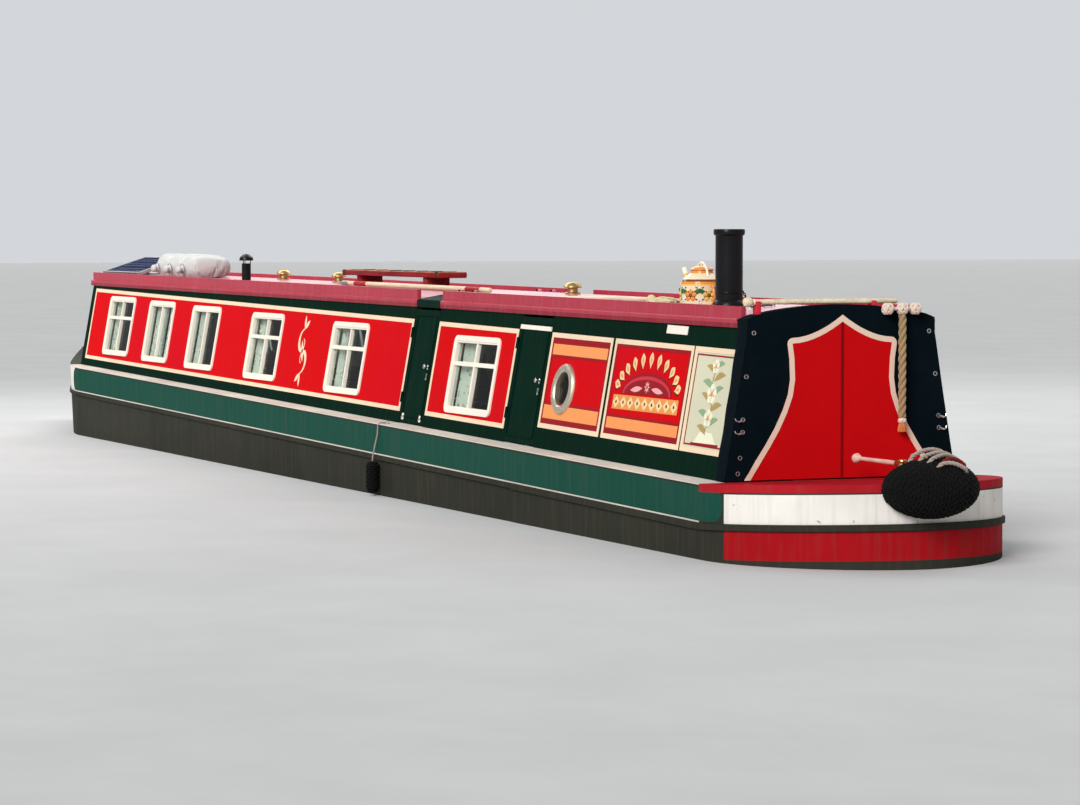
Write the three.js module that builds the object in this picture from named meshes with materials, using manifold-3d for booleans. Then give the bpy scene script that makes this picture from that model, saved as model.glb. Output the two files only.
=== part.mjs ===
// A traditional steel canal narrowboat, about 18.6 m long and 2.08 m in the beam, at full size.
// Millimetres. +X to the bow, +Y to port, +Z up. Origin: bottom centre of the whole boat's box.
// A "station" is a distance forward of the counter's aft tip; a "height" is above the water.
import * as THREE from 'three';
import { mergeVertices } from 'three/addons/utils/BufferGeometryUtils.js';
import Module from 'manifold-3d';

const wasm = await Module();
wasm.setup();

// Driving dimensions
const LENGTH = 18600;            // hull, counter tip to stem
const STERN_FENDER_REACH = 300;  // aft of the counter tip
const BOW_FENDER_REACH = 200;    // forward of the stem
const MID_STATION = (LENGTH + BOW_FENDER_REACH - STERN_FENDER_REACH) / 2;
const HALF_BEAM = 1022;          // hull plating at the gunwale
const BASE_HALF = 1003;          // hull plating at the baseplate
const BEAD = 18;                 // how far the rubbing strake stands out
const BEAD_HALF_HEIGHT = 22;
const BEAD_DROP = 270;           // strake centre below the gunwale
const DRAUGHT = 560;             // baseplate to waterline
const GAP = 0.3;                 // between pieces that touch
const MOVING_GAP = 6;            // around doors and flaps
const PLATE = 60;                // hull wall with its lining
const WALL = 50;                 // cabin wall with its lining
const GUNWALE_THICK = 45;
const FLOOR_TOP = 160;           // baseplate, ballast and floor
const FLOOR_HALF = 930;          // the laid floor stops short of the linings
const SLAB_TOP = 150;            // what the sides stand on

// Stations of the hull
const COUNTER_END = 1060;        // where the counter's round plan meets the straight side
const COUNTER_POWER = 1.8;       // 2 is an ellipse, less is more pointed
const SWIM_START = 950;          // stern post
const SWIM_END = 4200;
const BOW_START = 15830;
const FOREFOOT = 17900;          // where the flat bottom ends
const WELL_END = 17400;
const UXTER_Z = 520;             // underside of the counter, just under the water
const WELL_FLOOR_Z = 640;

// Stations of the cabin
const CABIN_REAR = 1150;
const CABIN_FRONT = 16350;
const AFT_HATCH = [4280, 4860];
const MID_HATCH = [6500, 7010];
const CABIN_HALF = 830;          // cabin side's foot
const LEAN = 0.18;               // how far the cabin side leans in for each unit of height
const ROOF_THICK = 60;
const ROOF_CROWN = 70;
const ROOF_OVERHANG = 12;

const x = (station) => station - MID_STATION;
const gunwaleZ = (station) => (station < 1140
  ? DRAUGHT + 485 + 0.044 * (1140 - station)
  : DRAUGHT + 485 + 0.0145 * (station - 1140));
const sheerZ = (station) => {
  const t = Math.max(0, (station - CABIN_FRONT) / (LENGTH - CABIN_FRONT));
  return gunwaleZ(station) + 250 * t * t;
};
const roofEdgeZ = (station) => DRAUGHT + 1475 + 0.004 * (station - 3000);
const cabinY = (station, z) => CABIN_HALF - LEAN * (z - gunwaleZ(station));
const roofHalf = (station) => cabinY(station, roofEdgeZ(station));
const roofTopZ = (station, y) => roofEdgeZ(station) + ROOF_THICK
  + ROOF_CROWN * (1 - (y / roofHalf(station)) ** 2);

// Geometry helpers
// Turns a closed geometry's faces outwards when its volume comes out negative.
function outward(geometry) {
  const g = geometry.index ? geometry.toNonIndexed() : geometry;
  const p = g.attributes.position;
  const [a, b, c] = [new THREE.Vector3(), new THREE.Vector3(), new THREE.Vector3()];
  let volume = 0;
  for (let i = 0; i < p.count; i += 3) {
    a.fromBufferAttribute(p, i);
    b.fromBufferAttribute(p, i + 1);
    c.fromBufferAttribute(p, i + 2);
    volume += a.dot(b.clone().cross(c));
  }
  if (volume < 0) {
    for (let i = 0; i < p.count; i += 3) {
      b.fromBufferAttribute(p, i + 1);
      c.fromBufferAttribute(p, i + 2);
      p.setXYZ(i + 1, c.x, c.y, c.z);
      p.setXYZ(i + 2, b.x, b.y, b.z);
    }
  }
  g.deleteAttribute('normal');
  g.deleteAttribute('uv');
  return mergeVertices(g, 1e-3);
}

function toManifold(geometry) {
  const g = outward(geometry);
  return new wasm.Manifold(new wasm.Mesh({
    numProp: 3,
    vertProperties: new Float32Array(g.attributes.position.array),
    triVerts: new Uint32Array(g.index.array),
  }));
}

function fromManifold(manifold) {
  const mesh = manifold.getMesh();
  const g = new THREE.BufferGeometry();
  g.setAttribute('position', new THREE.BufferAttribute(mesh.vertProperties, 3));
  g.setIndex(new THREE.BufferAttribute(mesh.triVerts, 1));
  return g;
}

const join = (first, ...rest) => fromManifold(
  rest.reduce((all, g) => all.add(toManifold(g)), toManifold(first)));
const cut = (first, ...rest) => fromManifold(
  rest.reduce((all, g) => all.subtract(toManifold(g)), toManifold(first)));
const common = (a, b) => fromManifold(toManifold(a).intersect(toManifold(b)));

// Planes in which an outline is drawn before it is extruded along the third direction.
const basis = (u, v, w) => new THREE.Matrix4().makeBasis(
  new THREE.Vector3(...u), new THREE.Vector3(...v), new THREE.Vector3(...w));
const PLAN = basis([1, 0, 0], [0, 1, 0], [0, 0, 1]);     // outline in x, y; runs along z
const PROFILE = basis([1, 0, 0], [0, 0, 1], [0, 1, 0]);  // outline in x, z; runs along y
const SECTION = basis([0, 1, 0], [0, 0, 1], [1, 0, 0]);  // outline in y, z; runs along x

function prism(outline, plane, from, to) {
  const shape = new THREE.Shape(outline.map(([u, v]) => new THREE.Vector2(u, v)));
  const g = new THREE.ExtrudeGeometry(shape, { depth: to - from, bevelEnabled: false });
  g.translate(0, 0, from);
  return outward(g.applyMatrix4(plane));
}

// Joins cross-sections, each a ring of [x, y, z] points in the same order, into a closed solid.
function loft(rings) {
  const count = rings[0].length;
  const positions = rings.flat(2);
  const index = [];
  for (let r = 0; r + 1 < rings.length; r += 1) {
    for (let i = 0; i < count; i += 1) {
      const a = r * count + i;
      const b = r * count + ((i + 1) % count);
      index.push(a, b, a + count, b, b + count, a + count);
    }
  }
  const cap = (ring, offset, flip) => {
    const flat = ring.map((p) => new THREE.Vector2(p[1], p[2]));
    THREE.ShapeUtils.triangulateShape(flat, []).forEach(([a, b, c]) => {
      index.push(offset + a, offset + (flip ? c : b), offset + (flip ? b : c));
    });
  };
  const clockwise = THREE.ShapeUtils.isClockWise(rings[0].map((p) => new THREE.Vector2(p[1], p[2])));
  cap(rings[0], 0, !clockwise);
  cap(rings[rings.length - 1], (rings.length - 1) * count, clockwise);
  const g = new THREE.BufferGeometry();
  g.setAttribute('position', new THREE.Float32BufferAttribute(positions, 3));
  g.setIndex(index);
  return outward(g);
}

// A solid whose section at a station is given by outline(station), a ring of [y, z] points.
const along = (stations, outline) => loft(
  stations.map((s) => outline(s).map(([y, z]) => [x(s), y, z])));

const box = (stations, ys, zs) => prism(
  [[x(stations[0]), ys[0]], [x(stations[1]), ys[0]], [x(stations[1]), ys[1]], [x(stations[0]), ys[1]]],
  PLAN, zs[0], zs[1]);

const mirrored = (geometry) => outward(geometry.clone().scale(1, -1, 1));

function rod(start, end, radius, sides = 12) {
  const a = new THREE.Vector3(...start);
  const b = new THREE.Vector3(...end);
  const g = new THREE.CylinderGeometry(radius, radius, a.distanceTo(b), sides);
  const turn = new THREE.Quaternion().setFromUnitVectors(
    new THREE.Vector3(0, 1, 0), b.clone().sub(a).normalize());
  g.applyQuaternion(turn);
  const middle = a.add(b).multiplyScalar(0.5);
  return outward(g.translate(middle.x, middle.y, middle.z));
}

function ball(centre, radii, across = 16, down = 10) {
  const g = new THREE.SphereGeometry(1, across, down).rotateX(Math.PI / 2);
  return outward(g.scale(...radii).translate(...centre));
}

// A turned piece about an upright axis; profile is [radius, z] pairs from axis to axis.
function turned(profile, centre, sides = 24) {
  const g = new THREE.LatheGeometry(profile.map(([r, z]) => new THREE.Vector2(r, z)), sides);
  return outward(g.rotateX(Math.PI / 2).translate(...centre));
}

// A butt hinge on an axis that stands off the face it is screwed to. In place's frame the axis is z,
// the face's normal y, and x runs from the leaf that moves to the one that doesn't.
const HINGE = { proud: 12, radius: 11.4, half: 42, leaf: 32 };
function hingeHalf(place, onFrame, proud = HINGE.proud) {
  const end = onFrame ? 1 : -1;
  const knuckle = rod([0, 0, 0.25 * end], [0, 0, HINGE.half * end], HINGE.radius, 10);
  const leaf = new THREE.BoxGeometry(HINGE.leaf, 10, HINGE.half - 0.25);
  leaf.translate((end * HINGE.leaf) / 2, -proud + 2, (end * (HINGE.half + 0.25)) / 2);
  return outward(join(knuckle, outward(leaf)).applyMatrix4(place));
}
const frameAt = (origin, u, v, w) => new THREE.Matrix4().makeBasis(u, v, w).setPosition(origin);

const boat = new THREE.Group();
const paint = (colour, roughness = 0.5, metalness = 0) => new THREE.MeshStandardMaterial({
  color: colour, roughness, metalness,
});
const finish = {
  black: () => paint(0x1d1c1a, 0.6),
  red: () => paint(0xb40c10, 0.35),
  green: () => paint(0x17352b, 0.35),
  roof: () => paint(0xb02a33, 0.4),
  wood: () => paint(0xc98a55, 0.7),
  cream: () => paint(0xefe0c4, 0.5),
  rope: () => paint(0xb9a27a, 0.9),
  tarRope: () => paint(0x1b1a1c, 0.95),
  canvas: () => paint(0x06121a, 0.7),
  steel: () => paint(0x8b8d90, 0.4, 1),
  brass: () => paint(0xc7a24a, 0.3, 1),
  sack: () => paint(0xf0efe9, 0.8),
  glassy: () => paint(0x24344a, 0.2),
};
function add(name, geometry, material) {
  const mesh = new THREE.Mesh(geometry, material);
  mesh.name = name;
  boat.add(mesh);
}

// Hull, midships: the floor slab and two walls whose tops turn inwards as the gunwales
const MIDSHIPS = [SWIM_END + GAP, BOW_START - GAP];
add('baseplate', join(
  box(MIDSHIPS, [-1010, 1010], [0, SLAB_TOP]),
  box(MIDSHIPS, [-FLOOR_HALF, FLOOR_HALF], [SLAB_TOP - 20, FLOOR_TOP]),
), finish.black());

const GUNWALE_INNER = CABIN_HALF - WALL;
const sideSection = (s) => {
  const top = gunwaleZ(s);
  const bead = top - BEAD_DROP;
  return [
    [BASE_HALF - PLATE, SLAB_TOP + GAP],
    [BASE_HALF, SLAB_TOP + GAP],
    [HALF_BEAM, bead - BEAD_HALF_HEIGHT],
    [HALF_BEAM + BEAD, bead - BEAD_HALF_HEIGHT + 8],
    [HALF_BEAM + BEAD, bead + BEAD_HALF_HEIGHT - 8],
    [HALF_BEAM, bead + BEAD_HALF_HEIGHT],
    [HALF_BEAM, top],
    [GUNWALE_INNER, top],
    [GUNWALE_INNER, top - GUNWALE_THICK],
    [HALF_BEAM - PLATE, top - GUNWALE_THICK],
  ];
};
const hullSide = along(MIDSHIPS, sideSection);
add('hull_side_port', hullSide, finish.black());
add('hull_side_starboard', mirrored(hullSide), finish.black());

// Stern: round counter, swim tapering to the stern post, and the open engine bay
const COUNTER_STEPS = 12;
function counterPlan(grow) {
  const side = [];
  for (let i = 0; i <= COUNTER_STEPS; i += 1) {
    const angle = (i / COUNTER_STEPS) * (Math.PI / 2);
    const reach = COUNTER_END + grow;
    side.push([
      x(COUNTER_END - reach * Math.cos(angle) ** (2 / COUNTER_POWER)),
      (HALF_BEAM + grow) * Math.sin(angle) ** (2 / COUNTER_POWER),
    ]);
  }
  side.push([x(SWIM_END), HALF_BEAM + grow]);
  return [...side, ...side.slice(1).reverse().map(([u, v]) => [u, -v])];
}
const swimHalf = (s) => {
  const t = (s - SWIM_START) / (SWIM_END - SWIM_START);
  return 35 + (BASE_HALF - 35) * (1 - Math.max(0, 1 - t) ** 1.6);
};
function swimPlan(stations, inset) {
  const side = stations.map((s) => [x(s), swimHalf(s) - inset]);
  return [...side, ...side.slice().reverse().map(([u, v]) => [u, -v])];
}
const SWIM_STATIONS = [950, 1300, 1800, 2400, 3100, 4200];
const BAY_STATIONS = [1700, 2400, 3100, 4201];
const band = (low, high) => {
  const ends = [-60, 1140, SWIM_END + 1];
  return [
    ...ends.map((s) => [x(s), low(s)]),
    ...ends.slice().reverse().map((s) => [x(s), high(s)]),
  ];
};
const ENGINE_BAY_Z = 100;
const RUDDER_STATION = 330;
const STOCK_RADIUS = 22;
const SHAFT_Z = 280;
const SHAFT_RADIUS = 19;
const upperStern = common(
  prism(counterPlan(0), PLAN, UXTER_Z, 1300),
  prism(band(() => UXTER_Z, gunwaleZ), PROFILE, -1200, 1200));
const sternBead = common(
  prism(counterPlan(BEAD), PLAN, 600, 1000),
  prism(band((s) => gunwaleZ(s) - BEAD_DROP - 20, (s) => gunwaleZ(s) - BEAD_DROP + 20),
    PROFILE, -1200, 1200));
const SKEG = { end: 270, half: 38, top: 40 };
const skeg = box([SKEG.end, SWIM_START + 100], [-SKEG.half, SKEG.half], [0, SKEG.top]);
const swim = prism(swimPlan(SWIM_STATIONS, 0), PLAN, 0, UXTER_Z + 20);
const sternOuter = join(upperStern, sternBead, swim, skeg);
const UPPER_BAY = [1230, SWIM_END + 1];
const upperBay = prism(
  [[x(UPPER_BAY[0]), UXTER_Z + 40], [x(UPPER_BAY[1]), UXTER_Z + 40],
    [x(UPPER_BAY[1]), gunwaleZ(UPPER_BAY[1]) - GUNWALE_THICK],
    [x(UPPER_BAY[0]), gunwaleZ(UPPER_BAY[0]) - GUNWALE_THICK]],
  PROFILE, -(HALF_BEAM - PLATE), HALF_BEAM - PLATE);
const sternTop = box(UPPER_BAY, [-GUNWALE_INNER, GUNWALE_INNER], [UXTER_Z + 40, 1300]);
const lowerBay = prism(swimPlan(BAY_STATIONS, PLATE), PLAN, ENGINE_BAY_Z, UXTER_Z + 60);
add('stern_hull', cut(
  sternOuter, upperBay, sternTop, lowerBay,
  rod([x(RUDDER_STATION), 0, 400], [x(RUDDER_STATION), 0, 1200], STOCK_RADIUS + 0.8, 16),
  rod([x(900), 0, SHAFT_Z], [x(1180), 0, SHAFT_Z], SHAFT_RADIUS + 0.8, 16),
), finish.black());

// Bow: transverse frames from the parallel body to the raked stem, with the open well deck
const BOW_POWER = 1.5;
const STEM_HALF = 15;
const taper = (s, start, end) => {
  const t = Math.min(1, Math.max(0, (s - start) / (end - start)));
  return 1 - t ** BOW_POWER;
};
const bowTopHalf = (s) => Math.max(STEM_HALF, HALF_BEAM * taper(s, BOW_START, LENGTH));
const bowBaseHalf = (s) => Math.max(STEM_HALF, BASE_HALF * taper(s, BOW_START - 60, FOREFOOT));
const bowBottomZ = (s) => {
  const t = Math.min(1, Math.max(0, (s - FOREFOOT) / (LENGTH - FOREFOOT)));
  return 640 * (1 - Math.sqrt(1 - t * t));
};
const bowSection = (s) => {
  const top = sheerZ(s);
  const bottom = bowBottomZ(s);
  const bead = top - BEAD_DROP;
  const topHalf = bowTopHalf(s);
  const baseHalf = bowBaseHalf(s);
  const half = (z) => baseHalf + (topHalf - baseHalf) * Math.sqrt((z - bottom) / (top - bottom));
  const knee = bottom + 0.3 * (bead - bottom);
  const side = [
    [baseHalf, bottom],
    [half(knee), knee],
    [half(bead - BEAD_HALF_HEIGHT), bead - BEAD_HALF_HEIGHT],
    [half(bead) + BEAD, bead - BEAD_HALF_HEIGHT + 8],
    [half(bead) + BEAD, bead + BEAD_HALF_HEIGHT - 8],
    [half(bead + BEAD_HALF_HEIGHT), bead + BEAD_HALF_HEIGHT],
    [topHalf, top],
  ];
  return [...side, ...side.slice().reverse().map(([y, z]) => [-y, z])];
};
const BOW_STATIONS = [BOW_START, 16100, 16350, 16700, 17050, 17400, 17750, 18000, 18200, 18400, 18530, 18600];
const INNER_BOW = 860;
const cabinPit = join(
  box([BOW_START - 1, CABIN_FRONT + GAP], [-GUNWALE_INNER, GUNWALE_INNER], [FLOOR_TOP, 1800]),
  box([BOW_START - 1, CABIN_FRONT + GAP], [-INNER_BOW, INNER_BOW], [FLOOR_TOP, gunwaleZ(BOW_START) - GUNWALE_THICK]),
);
const well = prism(
  [[x(CABIN_FRONT), -GUNWALE_INNER], [x(CABIN_FRONT), GUNWALE_INNER],
    [x(WELL_END - 350), 610], [x(WELL_END), 470], [x(WELL_END), -470], [x(WELL_END - 350), -610]],
  PLAN, WELL_FLOOR_Z, 1900);
const STUD = { station: 17900, foot: 60, post: 28, height: 160, arm: 115 };
const studZ = sheerZ(STUD.station);
const stud = join(
  turned([
    [0, studZ - 30], [STUD.foot, studZ - 30], [STUD.foot, studZ + 15], [STUD.post, studZ + 20],
    [STUD.post, studZ + STUD.height], [0, studZ + STUD.height],
  ], [x(STUD.station), 0, 0], 16),
  rod([x(STUD.station), -STUD.arm, studZ + 120], [x(STUD.station), STUD.arm, studZ + 120], 18, 12));
const bowOuter = along(BOW_STATIONS, bowSection);
add('bow_hull', join(cut(bowOuter, cabinPit, well), stud), finish.black());

// Cabin sides: three wall panels a side, between the hatches, with the windows and porthole cut
// One row a window: first station, last station. The port side shows them; starboard mirrors it.
const WINDOWS = [
  [5220, 6060],
  [8040, 8830],
  [10190, 10990],
  [11990, 12770],
  [13430, 14180],
  [14760, 15570],
];
const WINDOW_SILL = 185;         // above the gunwale
const WINDOW_HEIGHT = 520;
const PORTHOLE = { station: 3910, radius: 165, above: 440 };
const wallSection = (low, high) => (s) => [
  [cabinY(s, low(s)) - WALL, low(s)],
  [cabinY(s, low(s)), low(s)],
  [cabinY(s, high(s)), high(s)],
  [cabinY(s, high(s)) - WALL, high(s)],
];
const wall = (from, to) => along([from, to], wallSection((s) => gunwaleZ(s) + GAP, roofEdgeZ));
const windowHole = ([from, to]) => {
  const low = gunwaleZ((from + to) / 2) + WINDOW_SILL;
  return box([from, to], [400, 1000], [low, low + WINDOW_HEIGHT]);
};
const portholeZ = gunwaleZ(PORTHOLE.station) + PORTHOLE.above;
const portholeHole = rod([x(PORTHOLE.station), 400, portholeZ], [x(PORTHOLE.station), 1000, portholeZ],
  PORTHOLE.radius, 24);
// Side hatch doors fill the gaps between the wall panels, each hinged at its forward edge
const DOOR_FOOT = 12;
const DOOR_HEAD = 20;
const HATCH_HINGES = [-260, 260];  // along the hinge line from the door's mid height
const LEAN_ANGLE = Math.atan(LEAN);
const wallNormal = new THREE.Vector3(0, Math.cos(LEAN_ANGLE), Math.sin(LEAN_ANGLE));
const wallUp = new THREE.Vector3(0, -Math.sin(LEAN_ANGLE), Math.cos(LEAN_ANGLE));
const FORWARD = new THREE.Vector3(1, 0, 0);
function hatchHinge(stations, offset) {
  const s = stations[1] - MOVING_GAP / 2;
  const middle = (gunwaleZ(s) + roofEdgeZ(s)) / 2;
  const origin = new THREE.Vector3(x(s), cabinY(s, middle), middle)
    .addScaledVector(wallNormal, HINGE.proud).addScaledVector(wallUp, offset);
  return frameAt(origin, FORWARD, wallNormal, wallUp);
}
const hatchHinges = (stations, onFrame) => HATCH_HINGES.map(
  (offset) => hingeHalf(hatchHinge(stations, offset), onFrame));
const hatchDoor = (stations) => join(
  along([stations[0] + MOVING_GAP, stations[1] - MOVING_GAP],
    wallSection((s) => gunwaleZ(s) + DOOR_FOOT, (s) => roofEdgeZ(s) - DOOR_HEAD)),
  ...hatchHinges(stations, false));

const wallPanels = {
  aft: cut(wall(CABIN_REAR, AFT_HATCH[0]), portholeHole),
  mid: join(cut(wall(AFT_HATCH[1], MID_HATCH[0]), windowHole(WINDOWS[0])), ...hatchHinges(AFT_HATCH, true)),
  fore: join(cut(wall(MID_HATCH[1], CABIN_FRONT), ...WINDOWS.slice(1).map(windowHole)),
    ...hatchHinges(MID_HATCH, true)),
};
Object.entries(wallPanels).forEach(([place, geometry]) => {
  add(`cabin_side_port_${place}`, geometry, finish.red());
  add(`cabin_side_starboard_${place}`, mirrored(geometry), finish.red());
});
Object.entries({ aft: AFT_HATCH, mid: MID_HATCH }).forEach(([place, stations]) => {
  const door = hatchDoor(stations);
  add(`side_hatch_port_${place}`, door, finish.green());
  add(`side_hatch_starboard_${place}`, mirrored(door), finish.green());
});

// Bulkheads close the cabin's ends; the front one has the doorway to the well deck
const CROWN_STEPS = 8;
function crownLine(s, half, lift) {
  const line = [];
  for (let i = 0; i <= CROWN_STEPS; i += 1) {
    const y = half - (2 * half * i) / CROWN_STEPS;
    line.push([y, roofEdgeZ(s) + lift + ROOF_CROWN * (1 - (y / roofHalf(s)) ** 2)]);
  }
  return line;
}
const insideHalf = (s, z) => cabinY(s, z) - WALL - 0.5;
function bulkheadSection(s, foot) {
  const eaves = insideHalf(s, roofEdgeZ(s));
  const crown = crownLine(s, eaves, -1);
  return [
    [eaves, roofEdgeZ(s)],
    ...crown,
    [-eaves, roofEdgeZ(s)],
    [-insideHalf(s, gunwaleZ(s)), gunwaleZ(s) + 2],
    ...foot.map(([y, z]) => [-y, z]),
    ...foot.slice().reverse(),
    [insideHalf(s, gunwaleZ(s)), gunwaleZ(s) + 2],
  ];
}
const REAR_BULKHEAD = [CABIN_REAR, CABIN_REAR + WALL];
const FRONT_BULKHEAD = [CABIN_FRONT - WALL, CABIN_FRONT];
const rearFoot = [[GUNWALE_INNER - 2, gunwaleZ(CABIN_REAR + WALL) + GAP]];
add('rear_bulkhead', prism(bulkheadSection(CABIN_REAR, rearFoot), SECTION,
  x(REAR_BULKHEAD[0]), x(REAR_BULKHEAD[1])), finish.green());

const DOORWAY_HALF = 365;
const DOORWAY_SILL = WELL_FLOOR_Z + 90;
const DOORWAY_HEAD = roofEdgeZ(CABIN_FRONT) - 60;
const frontFoot = [
  [GUNWALE_INNER - 1, gunwaleZ(BOW_START) - GUNWALE_THICK - 2],
  [INNER_BOW - 2, gunwaleZ(BOW_START) - GUNWALE_THICK - 2],
  [INNER_BOW - 2, FLOOR_TOP + GAP],
];
const ATHWART = new THREE.Vector3(0, 1, 0);
const DOWN = new THREE.Vector3(0, 0, -1);
const frontHinges = (onFrame) => [DOORWAY_SILL + 220, DOORWAY_HEAD - 220].map((z) => hingeHalf(
  frameAt(new THREE.Vector3(x(CABIN_FRONT) + HINGE.proud, DOORWAY_HALF - MOVING_GAP / 2, z), ATHWART, FORWARD, DOWN),
  onFrame));
add('front_bulkhead', join(
  cut(
    prism(bulkheadSection(CABIN_FRONT - WALL, frontFoot), SECTION, x(FRONT_BULKHEAD[0]), x(FRONT_BULKHEAD[1])),
    box([FRONT_BULKHEAD[0] - 50, FRONT_BULKHEAD[1] + 50], [-DOORWAY_HALF, DOORWAY_HALF],
      [DOORWAY_SILL, DOORWAY_HEAD])),
  ...frontHinges(true), ...frontHinges(true).map(mirrored),
), finish.red());

const DOOR_THICK = 32;
const frontDoor = join(
  box([CABIN_FRONT - DOOR_THICK, CABIN_FRONT],
    [4, DOORWAY_HALF - MOVING_GAP], [DOORWAY_SILL + MOVING_GAP, DOORWAY_HEAD - MOVING_GAP]),
  ...frontHinges(false));
add('front_door_port', frontDoor, finish.green());
add('front_door_starboard', mirrored(frontDoor), finish.green());

// Roof: cambered plates in three lengths with a raised handrail along each edge; the middle length is
// narrow and leaves room for the two hatch flaps
const ROOF_STATIONS = [CABIN_REAR - 6, CABIN_FRONT + 60];
const roofSection = (s) => {
  const edge = roofHalf(s) + ROOF_OVERHANG;
  const low = roofEdgeZ(s) + GAP;
  const inner = roofHalf(s) - WALL;
  return [
    [edge, low + ROOF_THICK - 8],
    ...crownLine(s, roofHalf(s), ROOF_THICK),
    [-edge, low + ROOF_THICK - 8],
    [-edge, low],
    [-inner, low],
    ...crownLine(s, inner, GAP).reverse(),
    [inner, low],
    [edge, low],
  ];
};
const roofPlate = along(ROOF_STATIONS, roofSection);
const RAIL_HEIGHT = 78;
const railSection = (s) => {
  const outer = roofHalf(s) - 2;
  const low = roofEdgeZ(s) + ROOF_THICK;
  return [[outer, low - 8], [outer, low + RAIL_HEIGHT], [outer - 34, low + RAIL_HEIGHT], [outer - 34, low - 8]];
};
const RAIL_RUNS = [[1290, MID_HATCH[0] - 20], [MID_HATCH[1] + 20, CABIN_FRONT + 20]];
const rails = RAIL_RUNS.map((run) => along(run, railSection));
const FLAP_DEPTH = 330;
const flapInnerY = roofHalf(MID_HATCH[0]) - FLAP_DEPTH;
const FLAP_PROUD = 14;
const flapHingeZ = roofTopZ((MID_HATCH[0] + MID_HATCH[1]) / 2, flapInnerY) + FLAP_PROUD;
const INBOARD = new THREE.Vector3(0, -1, 0);
const UPWARD = new THREE.Vector3(0, 0, 1);
const AFTWARD = new THREE.Vector3(-1, 0, 0);
const flapHinges = (onFrame) => [MID_HATCH[0] + 110, MID_HATCH[1] - 110].map((s) => hingeHalf(
  frameAt(new THREE.Vector3(x(s), flapInnerY + MOVING_GAP / 2, flapHingeZ), INBOARD, UPWARD, AFTWARD),
  onFrame, FLAP_PROUD));
const roofPart = (stations, half = 1000) => common(
  join(roofPlate, ...rails, ...rails.map(mirrored)), box(stations, [-half, half], [1900, 2400]));
add('roof_aft', roofPart([0, MID_HATCH[0] - GAP / 2]), finish.roof());
add('roof_centre', join(
  roofPart([MID_HATCH[0] + GAP / 2, MID_HATCH[1] - GAP / 2], flapInnerY),
  ...flapHinges(true), ...flapHinges(true).map(mirrored),
), finish.roof());
add('roof_fore', roofPart([MID_HATCH[1] + GAP / 2, LENGTH]), finish.roof());

const flap = join(
  common(roofPlate, box([MID_HATCH[0] + MOVING_GAP, MID_HATCH[1] - MOVING_GAP],
    [flapInnerY + MOVING_GAP, 800], [1900, 2400])),
  ...flapHinges(false));
add('roof_flap_port', flap, finish.green());
add('roof_flap_starboard', mirrored(flap), finish.green());

// What stands or lies on the roof is cut to its camber
const SEAT = 0.4;
const underRoof = along(ROOF_STATIONS, (s) => {
  const side = roofHalf(s) + 100;
  const edgeTop = roofEdgeZ(s) + ROOF_THICK + SEAT;
  return [[side, edgeTop], ...crownLine(s, roofHalf(s), ROOF_THICK + SEAT), [-side, edgeTop],
    [-side, 1700], [side, 1700]];
});
const onRoof = (geometry) => cut(geometry, underRoof);

const CHIMNEY = { station: 1770, y: 500, radius: 90, top: DRAUGHT + 2105 };
const chimneyFoot = roofTopZ(CHIMNEY.station, CHIMNEY.y) - 45;
add('chimney', onRoof(turned([
  [0, chimneyFoot], [110, chimneyFoot], [110, chimneyFoot + 95], [CHIMNEY.radius, chimneyFoot + 125],
  [CHIMNEY.radius, CHIMNEY.top - 40], [CHIMNEY.radius + 14, CHIMNEY.top - 34],
  [CHIMNEY.radius + 14, CHIMNEY.top], [0, CHIMNEY.top],
], [x(CHIMNEY.station), CHIMNEY.y, 0])), finish.black());

const FLUE = { station: 11900, y: 480, radius: 42, top: DRAUGHT + 1885 };
const flueFoot = roofTopZ(FLUE.station, FLUE.y) - 30;
add('saloon_flue', onRoof(turned([
  [0, flueFoot], [62, flueFoot], [62, flueFoot + 50], [FLUE.radius, flueFoot + 66],
  [FLUE.radius, FLUE.top - 75], [62, FLUE.top - 60], [62, FLUE.top - 25], [20, FLUE.top], [0, FLUE.top],
], [x(FLUE.station), FLUE.y, 0])), finish.black());

// Mushroom vents along the centre line: station
const VENTS = [5460, 10700, 12230];
VENTS.forEach((station, i) => {
  const foot = roofTopZ(station, 0) - 15;
  add(`mushroom_vent_${i + 1}`, onRoof(turned([
    [0, foot], [58, foot], [58, foot + 24], [38, foot + 30], [38, foot + 60], [66, foot + 62],
    [64, foot + 78], [48, foot + 94], [22, foot + 103], [0, foot + 105],
  ], [x(station), 0, 0])), finish.brass());
});

// Gang plank on two chocks, and the long shaft beside it
const PLANK = { stations: [7930, 10260], half: 130, thick: 45, lift: 72 };
const plankZ = roofTopZ(PLANK.stations[1], 0) + PLANK.lift;
add('gang_plank', onRoof(join(
  box(PLANK.stations, [-PLANK.half, PLANK.half], [plankZ, plankZ + PLANK.thick]),
  ...[8300, 9900].map((s) => box([s - 45, s + 45], [-105, 105], [plankZ - PLANK.lift - 20, plankZ + 5])),
)), finish.wood());
const SHAFT = { stations: [6420, 9950], y: 282, radius: 22 };
const shaftZ = (s) => roofTopZ(s, SHAFT.y) + SHAFT.radius - 0.2;
add('boat_shaft', rod([x(SHAFT.stations[0]), SHAFT.y, shaftZ(SHAFT.stations[0])],
  [x(SHAFT.stations[1]), SHAFT.y, shaftZ(SHAFT.stations[1])], SHAFT.radius, 10), finish.cream());

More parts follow.
